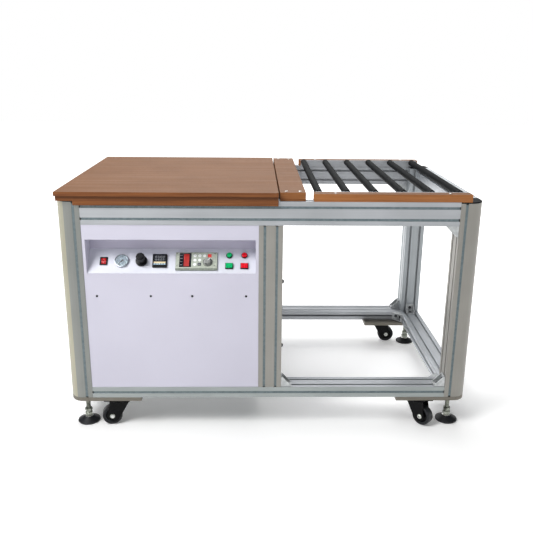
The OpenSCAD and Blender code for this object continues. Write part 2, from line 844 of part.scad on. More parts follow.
module cabinet_panels() {
  top_z = top_rail_z - panel_head_gap;
  color("lavender") at_datum() {
    block([-half_w + side_sink, -inner_y, low_rail_top_z],
      [-half_w + side_sink + sheet_t, inner_y, top_rail_z]);
    difference() {
      block([panel_x0, half_d - side_sink - sheet_t, low_rail_top_z],
        [panel_x1, half_d - side_sink, top_rail_z]);
      translate([panel_x0 + inlet_x, half_d - side_sink, low_rail_top_z + inlet_z]) rotate([90, 0, 0])
        translate([0, 0, -cut]) centred_bar(inlet_w - 2 * face_t, inlet_h - 2 * face_t, sheet_t + 2 * cut);
      translate([panel_x0 + air_x, half_d - side_sink, low_rail_top_z + inlet_z])
        rod_y(-sheet_t - cut, cut, air_r - face_t);
    }
    block([middle_post_x - sheet_t / 2, -rail_in_y, low_rail_top_z],
      [middle_post_x + sheet_t / 2, rail_in_y, top_z]);
  }
}

module service_inlets() {
  color("dimgray") at_datum() translate([panel_x0, half_d - side_sink, low_rail_top_z + inlet_z]) {
    translate([inlet_x, 0, 0]) difference() {
      union() {
        rotate([90, 0, 0]) translate([0, 0, -inlet_t / 2]) centred_bar(inlet_w, inlet_h, inlet_t / 2);
        rotate([90, 0, 0]) translate([0, 0, -cut])
          centred_bar(inlet_w - 2 * face_t - neck_clear, inlet_h - 2 * face_t - neck_clear, inlet_body_l);
      }
      rotate([90, 0, 0]) translate([0, 0, -inlet_t])
        centred_bar(inlet_w / 2, inlet_h / 2, inlet_body_l);
    }
    translate([air_x, 0, 0]) difference() {
      union() {
        rod_y(0, inlet_t, air_r);
        rod_y(-air_t, cut, air_r - face_t - neck_clear);
      }
      rod_y(-air_t / 2, inlet_t + cut, port_r);
    }
  }
}

module panel_screws() {
  board_z = rail_top_z + bed_t;
  color("white") at_datum() {
    for (share = screw_place_shares)
      translate([panel_x0 + share * panel_w, panel_y, slope_z - screw_drop]) rotate([90, 0, 0])
        cylinder(h = screw_head_h, r = panel_screw_r);
    for (sy = [0, 1]) mirror([0, sy, 0]) {
      for (share = bed_screw_shares)
        translate([bed_x + share * bed_w, -half_d + pitch / 2, board_z])
          cylinder(h = screw_head_h, r = screw_head_r);
      for (share = transfer_screw_shares)
        translate([transfer_x + share * transfer_w, -half_d + transfer_screw_inset, rail_top_z + transfer_t])
          cylinder(h = screw_head_h, r = screw_head_r);
    }
  }
}

// Instruments, each drawn on the sloped plate with Z pointing out of it
rocker_tilt = 9;
rocker_depth = 22;
rocker_wall = 1.6;
rocker_well_share = 0.6;
gauge_case_l = 30;
gauge_rim = 3;
gauge_out = 7;
gauge_dial_z = 2;
needle_t = 0.8;
needle_r = 1.5;
needle_l_share = 0.62;
needle_hub_r = 2.25;
needle_bore_l = 7.5;
regulator_neck_r = 13;
regulator_neck_l = 15;
regulator_body_l = 46;
regulator_body_r = 21;
regulator_stem_r = 5;
regulator_bore_l = 11.5;
collar_h = 9;
knob_lip = 1.5;
controller_out = 8;
controller_l = 70;
keypad_s = 48.5;
keypad_out = 7;
drive_l = 66;
speed_knob_r = 14;
speed_knob_h = 14;
speed_knob_at = [37.5, -4.5];
speed_shaft_r = 3;
button_neck_r = 8;
button_hole_r = 6;
button_bore_l = 9;
bezel_h = 5;
bezel_floor = 1;
cap_h = 5;
button_body_l = 34;
square_neck = 2.5;
square_stem = 7;
button_rim = 1.7;
square_rim = 2 * (moving_gap + button_rim);
cap_z = bezel_floor + button_travel + moving_gap;
stem_z = button_travel + moving_gap - button_bore_l;

module rocker_frame() {
  w = rocker_size[0];
  h = rocker_size[1];
  neck_w = w - 2 * bezel_t - neck_clear;
  neck_h = h - 2 * bezel_t - neck_clear;
  color("black") at_datum() on_slope(rocker_x, row_s) difference() {
    union() {
      centred_bar(w, h, bezel_t);
      translate([0, 0, -rocker_depth]) centred_bar(neck_w, neck_h, rocker_depth + bezel_t);
    }
    translate([0, 0, -rocker_depth * rocker_well_share])
      centred_bar(neck_w - 2 * rocker_wall, neck_h - 2 * rocker_wall + rocker_wall, rocker_depth);
  }
}

module power_rocker() {
  w = rocker_size[0] - 2 * bezel_t - neck_clear - 2 * rocker_wall - 2 * moving_gap;
  l = rocker_size[1] - 2 * bezel_t - neck_clear - rocker_wall - 4 * moving_gap;
  rise = l / 2 * tan(rocker_tilt);
  color("red") at_datum() on_slope(rocker_x, row_s) translate([0, 0, -bezel_t]) rotate([rocker_tilt, 0, 0])
    rotate([90, 0, 90]) translate([0, 0, -w / 2]) linear_extrude(w)
      polygon([[-l / 2 + rise / 2, 2 * bezel_t], [0, 2 * bezel_t - rise / 2], [l / 2 - rise / 2, 2 * bezel_t],
        [l / 2 - rise, 0], [rise, -bezel_t], [-rise, -bezel_t], [-l / 2 + rise, 0]]);
}

module pressure_gauge() {
  color("silver") at_datum() on_slope(gauge_x, row_s) {
    difference() {
      union() {
        cylinder(h = gauge_out, r = gauge_r);
        translate([0, 0, -gauge_case_l]) cylinder(h = gauge_case_l + cut, r = gauge_r - face_t);
      }
      translate([0, 0, gauge_dial_z]) cylinder(h = gauge_out, r = gauge_r - gauge_rim);
      translate([0, 0, -needle_bore_l])
        cylinder(h = needle_bore_l + gauge_out, r = needle_r / 2 + running_gap);
    }
    translate([0, 0, gauge_out - gauge_dial_z + running_gap])
      cylinder(h = gauge_dial_z / 2, r = gauge_r - gauge_rim - running_gap / 2);
  }
}

// The needle points at the start of the scale, lower left
module gauge_needle() {
  tip = (gauge_r - gauge_rim) * needle_l_share;
  lift = gauge_dial_z + moving_gap;
  color("black") at_datum() on_slope(gauge_x, row_s) {
    translate([0, 0, lift]) rotate(225) linear_extrude(needle_t)
      polygon([[-tip / 3, -needle_r], [-tip / 3, needle_r], [tip, needle_r / 4], [tip, -needle_r / 4]]);
    translate([0, 0, lift]) cylinder(h = needle_t * 2, r = needle_hub_r);
    translate([0, 0, -needle_bore_l + moving_gap]) cylinder(h = needle_bore_l + lift, r = needle_r / 2);
  }
}

module regulator_body() {
  color("dimgray") at_datum() on_slope(regulator_x, row_s) difference() {
    union() {
      cylinder(h = collar_h, r = regulator_radii[0]);
      translate([0, 0, -regulator_neck_l]) cylinder(h = regulator_neck_l + cut, r = regulator_neck_r);
      translate([0, 0, -regulator_body_l])
        cylinder(h = regulator_body_l - regulator_neck_l, r = regulator_body_r);
    }
    translate([0, 0, -regulator_bore_l]) cylinder(h = regulator_h, r = regulator_stem_r + running_gap);
  }
}

module regulator_knob() {
  color("black") at_datum() on_slope(regulator_x, row_s) {
    translate([0, 0, collar_h + moving_gap])
      cylinder(h = regulator_h - collar_h - moving_gap, r = regulator_radii[1]);
    translate([0, 0, -regulator_bore_l + moving_gap])
      cylinder(h = collar_h + regulator_bore_l, r = regulator_stem_r);
  }
}

module temperature_controller() {
  color("black") at_datum() on_slope(controller_x, row_s) {
    centred_bar(controller_w, controller_w, controller_out);
    translate([0, 0, -controller_l])
      centred_bar(controller_w - face_t - neck_clear, controller_w - face_t - neck_clear, controller_l + cut);
  }
}

module speed_keypad() {
  w = keypad_size[0];
  h = keypad_size[1];
  color("darkseagreen") at_datum() on_slope(keypad_x, keypad_s) difference() {
    union() {
      centred_bar(w, h, keypad_out);
      translate([0, 0, -drive_l])
        centred_bar(w - housing_inset - neck_clear, h - housing_inset - neck_clear, drive_l + cut);
    }
    translate([speed_knob_at[0], speed_knob_at[1], -keypad_out])
      cylinder(h = 2 * keypad_out + cut, r = speed_shaft_r + running_gap);
  }
}

module speed_knob() {
  color("silver") at_datum() on_slope(keypad_x, keypad_s) translate([speed_knob_at[0], speed_knob_at[1], 0]) {
    translate([0, 0, keypad_out + moving_gap]) cylinder(h = speed_knob_h, r = speed_knob_r);
    translate([0, 0, -keypad_out + moving_gap]) cylinder(h = 2 * keypad_out + moving_gap, r = speed_shaft_r);
  }
}

module button_bezels() {
  color("black") at_datum() for (x = [green_x, red_x]) {
    on_slope(x, round_s) difference() {
      union() {
        cylinder(h = bezel_h, r = round_r + moving_gap + button_rim);
        translate([0, 0, -button_body_l]) cylinder(h = button_body_l + bezel_floor, r = button_neck_r);
      }
      translate([0, 0, -button_bore_l]) cylinder(h = button_body_l, r = button_hole_r);
      translate([0, 0, bezel_floor]) cylinder(h = bezel_h, r = round_r + moving_gap);
    }
    on_slope(x, square_s) difference() {
      union() {
        centred_bar(square_size[0] + square_rim, square_size[1] + square_rim, bezel_h);
        translate([0, 0, -button_body_l])
          centred_bar(square_size[0] - square_neck, square_size[1] - square_neck, button_body_l + bezel_floor);
      }
      translate([0, 0, -button_bore_l])
        centred_bar(square_size[0] - square_stem, square_size[1] - square_stem, button_body_l);
      translate([0, 0, bezel_floor])
        centred_bar(square_size[0] + 2 * moving_gap, square_size[1] + 2 * moving_gap, button_body_l);
    }
  }
}

// A push button: its cap slides in the bezel, its stem in the body behind
module round_button(x) {
  at_datum() on_slope(x, round_s) {
    translate([0, 0, cap_z]) cylinder(h = cap_h, r = round_r);
    translate([0, 0, stem_z]) cylinder(h = cap_z + cap_h / 2 - stem_z, r = button_hole_r - moving_gap);
  }
}

module square_button(x) {
  stem = square_stem + 2 * moving_gap;
  at_datum() on_slope(x, square_s) {
    translate([0, 0, cap_z]) centred_bar(square_size[0], square_size[1], cap_h);
    translate([0, 0, stem_z])
      centred_bar(square_size[0] - stem, square_size[1] - stem, cap_z + cap_h / 2 - stem_z);
  }
}

module start_button() { color("limegreen") round_button(green_x); }
module stop_button() { color("red") round_button(red_x); }
module suction_on_button() { color("limegreen") square_button(green_x); }
module suction_off_button() { color("red") square_button(red_x); }

// Casters, drawn trailing along +X from the swivel axis and then turned
ring_z = plate_z - caster_plate_t - swivel_ring_h;
crown_z = ring_z - moving_gap - crown_h;
axle_z = wheel_r + caster_lift;
cheek_y = wheel_w / 2 + wheel_gap;

module caster_at(i) {
  sx = (i % 2 == 0) ? -1 : 1;
  sy = (i < 2) ? -1 : 1;
  at_datum() translate([sx * (half_w - caster_inset_x), sy * (half_d - caster_inset_y), 0]) children();
}

module caster_plates() {
  color("dimgray") for (i = [0:3]) caster_at(i) {
    translate([0, 0, plate_z - caster_plate_t]) centred_bar(caster_plate_l, caster_plate_w, caster_plate_t);
    translate([0, 0, ring_z]) cylinder(h = swivel_ring_h + cut, r = swivel_ring_r);
  }
}

// Where the straight side from a top corner of the cheek runs into the round around the axle
function cheek_side(top_x, hand) =
  let (run = [caster_trail - top_x, axle_z - crown_z - crown_h])
  [caster_trail, axle_z] + hand * (cheek_r - cheek_blend) * [-run[1], run[0]] / norm(run);

module cheek_2d() {
  difference() {
    union() {
      translate([caster_trail, axle_z]) circle(cheek_r);
      polygon([[-cheek_front, crown_z + crown_h], cheek_side(-cheek_front, -1), cheek_side(cheek_rear, 1),
        [cheek_rear, crown_z + crown_h]]);
    }
    translate([caster_trail, axle_z]) circle(axle_r + running_gap);
  }
}

module caster_fork(i) {
  color("black") caster_at(i) rotate(caster_turns[i]) {
    translate([0, 0, crown_z]) cylinder(h = crown_h, r = crown_r);
    for (side = [0, 1]) mirror([0, side, 0])
      translate([0, -cheek_y, 0]) rotate([90, 0, 0]) linear_extrude(cheek_t) cheek_2d();
    translate([caster_trail, 0, axle_z]) {
      rod_y(-cheek_y - cheek_t, cheek_y + cheek_t, axle_r);
      for (side = [0, 1]) mirror([0, side, 0])
        translate([0, -cheek_y - cheek_t, 0]) rotate([90, 0, 0])
          cylinder(h = axle_head_t, r = axle_head_r, $fn = 6);
    }
  }
}

// Half of the wheel's section, from the bore out to the tread, on one side of its middle plane
function wheel_side(hand) = [
  [axle_r + running_gap, hand * (wheel_w / 2 - wheel_web_sink / 2)],
  [wheel_boss_r, hand * (wheel_w / 2 - wheel_web_sink / 2)],
  [wheel_boss_r + wheel_slope, hand * (wheel_w / 2 - wheel_web_sink)],
  [wheel_r - tyre_h - wheel_slope, hand * (wheel_w / 2 - wheel_web_sink)],
  [wheel_r - tyre_h, hand * wheel_w / 2],
  [wheel_r - wheel_edge, hand * wheel_w / 2],
  [wheel_r, hand * (wheel_w / 2 - wheel_edge)]];

module caster_wheel(i) {
  color("black") caster_at(i) rotate(caster_turns[i]) translate([caster_trail, 0, axle_z]) rotate([90, 0, 0])
    rotate_extrude($fn = 64) polygon(concat(
      wheel_side(-1), [for (k = [6:-1:0]) wheel_side(1)[k]]));
}

module caster_fork_fl() { caster_fork(0); }
module caster_fork_fr() { caster_fork(1); }
module caster_fork_rl() { caster_fork(2); }
module caster_fork_rr() { caster_fork(3); }
module caster_wheel_fl() { caster_wheel(0); }
module caster_wheel_fr() { caster_wheel(1); }
module caster_wheel_rl() { caster_wheel(2); }
module caster_wheel_rr() { caster_wheel(3); }

// A levelling foot: rubber pad, washer, neck, jam nut and stud
module foot(i) {
  sx = (i % 2 == 0) ? -1 : 1;
  sy = (i < 2) ? -1 : 1;
  neck_top = pad_h + pad_flange_t + nut_t;
  color("dimgray") at_datum()
    translate([sx * (half_w - foot_inset_x), sy * (half_d - foot_inset_y), 0]) {
      rotate_extrude($fn = 64) polygon([[0, 0], [pad_r - pad_bevel, 0], [pad_r, pad_bevel], [pad_r, pad_rim],
        [pad_r - pad_shoulder, pad_rim + pad_shoulder], [pad_neck_r + pad_bevel, pad_h], [0, pad_h]]);
      translate([0, 0, pad_h]) {
        cylinder(h = pad_flange_t, r = pad_neck_r);
        cylinder(h = pad_flange_t + nut_t, r = neck_r);
      }
      translate([0, 0, neck_top]) {
        cylinder(h = nut_t, r = nut_flats / sqrt(3), $fn = 6);
        cylinder(h = plate_z + stud_reach - neck_top, r = stud_r);
      }
    }
}

module foot_fl() { foot(0); }
module foot_fr() { foot(1); }
module foot_rl() { foot(2); }
module foot_rr() { foot(3); }

corner_posts();
middle_posts();
top_rails();
bottom_rails();
post_caps();
slot_covers();
foot_plates();
gussets();
frame_bolts();
caster_plates();
platform_board();
platform_base();
transfer_board();
roller_boards();
bearing_strips();
bearings();
heater_mat();
front_panel();
instrument_tray();
cabinet_panels();
equipment_mounts();
panel_screws();
rocker_frame();
pressure_gauge();
regulator_body();
temperature_controller();
speed_keypad();
button_bezels();
geared_motor();
drive_belt();
vacuum_valve();
service_inlets();
idle_roller_1();
idle_roller_2();
idle_roller_3();
idle_roller_4();
idle_roller_5();
idle_roller_6();
film_roller();
motor_pulley();
power_rocker();
gauge_needle();
regulator_knob();
speed_knob();
start_button();
stop_button();
suction_on_button();
suction_off_button();
caster_fork_fl();
caster_fork_fr();
caster_fork_rl();
caster_fork_rr();
caster_wheel_fl();
caster_wheel_fr();
caster_wheel_rl();
caster_wheel_rr();
foot_fl();
foot_fr();
foot_rl();
foot_rr();
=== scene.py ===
import math
import bmesh
import bpy
from mathutils import Matrix, Vector


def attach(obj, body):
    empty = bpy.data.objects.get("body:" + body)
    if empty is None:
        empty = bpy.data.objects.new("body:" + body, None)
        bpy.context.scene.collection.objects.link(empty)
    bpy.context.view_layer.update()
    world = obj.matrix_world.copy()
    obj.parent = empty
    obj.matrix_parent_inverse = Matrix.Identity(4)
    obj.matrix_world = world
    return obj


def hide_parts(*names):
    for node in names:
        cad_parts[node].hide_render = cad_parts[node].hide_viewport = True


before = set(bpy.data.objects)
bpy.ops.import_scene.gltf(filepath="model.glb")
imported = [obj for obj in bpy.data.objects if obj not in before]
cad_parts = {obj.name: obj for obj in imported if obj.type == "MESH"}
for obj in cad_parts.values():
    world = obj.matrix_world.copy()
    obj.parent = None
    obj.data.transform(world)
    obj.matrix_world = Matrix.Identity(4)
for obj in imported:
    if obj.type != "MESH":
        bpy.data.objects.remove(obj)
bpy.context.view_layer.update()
print("frame loaded:", len(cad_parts), "nodes")

millimetre = 0.001
# mm: the frame's front face, halfway to its rear, and the foot of the idle rollers' bushes
machine = {"front": -413.5, "middle": 6.5, "bushes": 810}

here = Matrix.Identity(4)


def shift(x=0.0, y=0.0, z=0.0):
    return Matrix.Translation((x, y, z))


def turn(degrees, axis):
    return Matrix.Rotation(math.radians(degrees), 4, axis)


def newObject(name, data):
    made = bpy.data.objects.new(name, data)
    bpy.context.scene.collection.objects.link(made)
    return made


# place in metres, angles in degrees, lens in mm
photoCamera = {"place": (-0.05567, -2.57492, 1.25002), "pitch": 17.06, "yaw": 1.451, "roll": 0.582,
    "lens": 45.83, "shift": (-0.00735, 0.00764)}


def makeCamera():
    s = photoCamera
    data = bpy.data.cameras.new("photoCamera")
    data.lens, data.sensor_width = s["lens"], 36
    data.shift_x, data.shift_y = s["shift"]
    camera = newObject("photoCamera", data)
    aimed = turn(-s["yaw"], "Z") @ turn(90 - s["pitch"], "X") @ turn(s["roll"], "Z")
    camera.matrix_world = shift(*s["place"]) @ aimed
    bpy.context.scene.camera = camera


makeCamera()


def linear(code):
    channels = (int(code[i:i + 2], 16) / 255 for i in (1, 3, 5))
    return tuple(c / 12.92 if c <= 0.04045 else ((c + 0.055) / 1.055) ** 2.4 for c in channels) + (1.0,)


def addNode(tree, kind, links=None, **settings):
    # each link is a socket, a node whose first output is meant, or a plain value
    made = tree.nodes.new(kind)
    for key, value in settings.items():
        setattr(made, key, value)
    for key, value in (links or {}).items():
        if isinstance(value, bpy.types.Node):
            value = value.outputs[0]
        if isinstance(value, bpy.types.NodeSocket):
            tree.links.new(value, made.inputs[key])
        else:
            made.inputs[key].default_value = value
    return made


def newFinish(name, colour, metallic=0.0, roughness=0.5, **sockets):
    finish = bpy.data.materials.new(name)
    finish.use_nodes = True
    tree = finish.node_tree
    shader = tree.nodes["Principled BSDF"]
    shader.inputs["Base Color"].default_value = linear(colour)
    shader.inputs["Metallic"].default_value = metallic
    shader.inputs["Roughness"].default_value = roughness
    for key, value in sockets.items():
        shader.inputs[key.replace("_", " ")].default_value = value
    finish.diffuse_color = linear(colour)
    place = addNode(tree, "ShaderNodeTexCoord").outputs["Object"]
    return finish, tree, shader, place


# a colour mix's sockets: factor, first and second colour, result
mixBy, mixFrom, mixTo, mixed = 0, 6, 7, 2
even = (1, 1, 1)


def noise(tree, place, size, stretch=even, detail=3, fineness=0.5):
    # size in mm
    scaled = addNode(tree, "ShaderNodeMapping", {"Vector": place, "Scale": stretch})
    return addNode(tree, "ShaderNodeTexNoise",
        {"Vector": scaled, "Scale": 1000 / size, "Detail": detail, "Roughness": fineness})


def glossBy(tree, shader, pattern, low, high):
    gloss = addNode(tree, "ShaderNodeMapRange",
        {"Value": pattern, "From Min": 0.3, "From Max": 0.7, "To Min": low, "To Max": high})
    tree.links.new(gloss.outputs[0], shader.inputs["Roughness"])


def patterned(name, tones, patterns, toneBy, toneRange=(0.3, 0.7), metallic=0.0, roughness=0.5, roughBy=None,
        bumpBy=None, **sockets):
    # patterns: name -> (size in mm, stretch, detail, fineness); tone follows one or two of them, gloss and
    # bump one each
    level = sum(roughness) / 2 if roughBy else roughness
    finish, tree, shader, place = newFinish(name, tones[1], metallic, level, **sockets)
    drawn = {key: noise(tree, place, *pattern) for key, pattern in patterns.items()}
    factor = drawn[toneBy[0]]
    if len(toneBy) > 1:
        factor = addNode(tree, "ShaderNodeMath", {0: factor, 1: drawn[toneBy[1]]}, operation="ADD")
    ramp = addNode(tree, "ShaderNodeMapRange",
        {"Value": factor, "From Min": toneRange[0], "From Max": toneRange[1]})
    colour = addNode(tree, "ShaderNodeMix", {mixBy: ramp, mixFrom: linear(tones[0]), mixTo: linear(tones[1])},
        data_type="RGBA").outputs[mixed]
    tree.links.new(colour, shader.inputs["Base Color"])
    if roughBy:
        glossBy(tree, shader, drawn[roughBy], *roughness)
    if bumpBy:
        key, depth = bumpBy
        bump = addNode(tree, "ShaderNodeBump",
            {"Height": drawn[key], "Strength": 1.0, "Distance": depth * millimetre})
        tree.links.new(bump.outputs[0], shader.inputs["Normal"])
    return finish, tree, shader, place, colour


def alongAxis(along, thinness):
    return tuple(thinness if axis == along else 1 for axis in "xyz")


def anodised(name, along, *tones):
    # clear-anodised extrusion: soft grey sheen with faint die lines along its length; real die lines are
    # well under 1 mm apart and are drawn 5 mm apart to show
    return patterned(name, tones, {"lines": (5, alongAxis(along, 0.006), 4, 0.7), "clouds": (160, even, 2)},
        ("lines", "clouds"), (0.5, 1.5), 0.72, (0.36, 0.5), "lines", ("lines", 0.015))[0]


def sandedBoard(name, *tones):
    # phenolic fabric board, sanded top: dull tan with short fibres and light scuffs
    grain = {"fibre": (5, (1, 0.12, 1), 6, 0.65), "patch": (130,), "scuff": (30, (0.05, 1, 1), 5, 0.7)}
    return patterned(name, tones, grain, ("fibre", "patch"), (0.6, 1.4), 0, (0.52, 0.68), "scuff",
        ("fibre", 0.05), Specular_IOR_Level=0.15)[0]


def sawnEdge(name, *tones, shadowBand=None):
    # the same board's sawn edge: richer brown, thin cloth layers lying flat, drawn coarser than the real 0.3
    # mm; the last argument gives the heights and colour of a painted shadow, a dark band just under the upper
    # board's overhang
    grain = {"layers": (1.6, (0.01, 0.01, 1), 3, 0.6), "streaks": (9, (0.02, 0.02, 1), 5, 0.6)}
    finish, tree, shader, place, colour = patterned(name, tones, grain, ("layers", "streaks"), (0.7, 1.3),
        0, 0.6, None, ("layers", 0.1), Specular_IOR_Level=0.3)
    # painted shadow: darkens the edge in a band with a wavering lower edge, just under the upper board's
    # overhang
    if shadowBand:
        low, high, shadowColour = shadowBand[0] * millimetre, shadowBand[1] * millimetre, shadowBand[2]
        waver = noise(tree, place, 240, (1, 1, 0.2))
        height = addNode(tree, "ShaderNodeSeparateXYZ", {0: place}).outputs["Z"]
        lifted = addNode(tree, "ShaderNodeMath", {0: waver, 1: 0.012, 2: height}, operation="MULTIPLY_ADD")
        over = addNode(tree, "ShaderNodeMapRange",
            {"Value": lifted, "From Min": low + 0.006, "From Max": low + 0.010})
        under = addNode(tree, "ShaderNodeMapRange",
            {"Value": height, "From Min": high + 0.0015, "From Max": high})
        band = addNode(tree, "ShaderNodeMath", {0: over, 1: under}, operation="MULTIPLY")
        shadedEdge = addNode(tree, "ShaderNodeMix", {mixBy: band, mixFrom: colour, mixTo: linear(shadowColour)},
            data_type="RGBA")
        tree.links.new(shadedEdge.outputs[mixed], shader.inputs["Base Color"])
    return finish


def powderCoat(name, *tones):
    # powder coat on sheet steel: even colour, fine orange peel
    return patterned(name, tones, {"peel": (2.2, even, 2), "haze": (240, even, 1)}, ("haze",),
        roughness=0.45, bumpBy=("peel", 0.05))[0]


def grained(name, darker, lighter, metallic, roughness, grain, depth, **sockets):
    # grain in mm; where the real grain is finer than the view can show, it is two to five times coarser here
    return patterned(name, (darker, lighter), {"grains": (grain, even, 4), "clouds": (grain * 14, even, 2)},
        ("clouds",), (0.3, 0.7), metallic, roughness, "grains", ("grains", depth), **sockets)[0]


def brushed(name, darker, lighter, roughness, along):
    # brushed steel or aluminium: long fine strokes that break the gloss; 0.1 mm strokes drawn 1.2 mm wide
    strokes = {"strokes": (1.2, alongAxis(along, 0.02), 3, 0.6)}
    return patterned(name, (darker, lighter), strokes, ("strokes",), (0.3, 0.7), 1.0, roughness, "strokes",
        ("strokes", 0.02))[0]


def lampLensPlastic(name, darker, lighter, glow, glowColour):
    # tinted polycarbonate lens over a lamp: glossy skin, colour that deepens in patches, and a little painted
    # glow
    return patterned(name, (darker, lighter), {"cells": (4, even, 2)}, ("cells",), (0.35, 0.65),
        0, (0.22, 0.34), "cells", ("cells", 0.03), Coat_Weight=0.12, Coat_Roughness=0.1,
        Specular_IOR_Level=0.2, Subsurface_Weight=0.15, Subsurface_Scale=0.004,
        Emission_Color=linear(glowColour), Emission_Strength=glow)[0]


def clearLens(name):
    # acrylic lens: clear, with a few faint wipe marks in its gloss
    finish, tree, shader, place = newFinish(name, "#FFFFFF", 0, 0.04, IOR=1.49, Transmission_Weight=1.0,
        Specular_IOR_Level=0.2)
    glossBy(tree, shader, noise(tree, place, 18, (1, 0.2, 1)), 0.02, 0.08)
    return finish


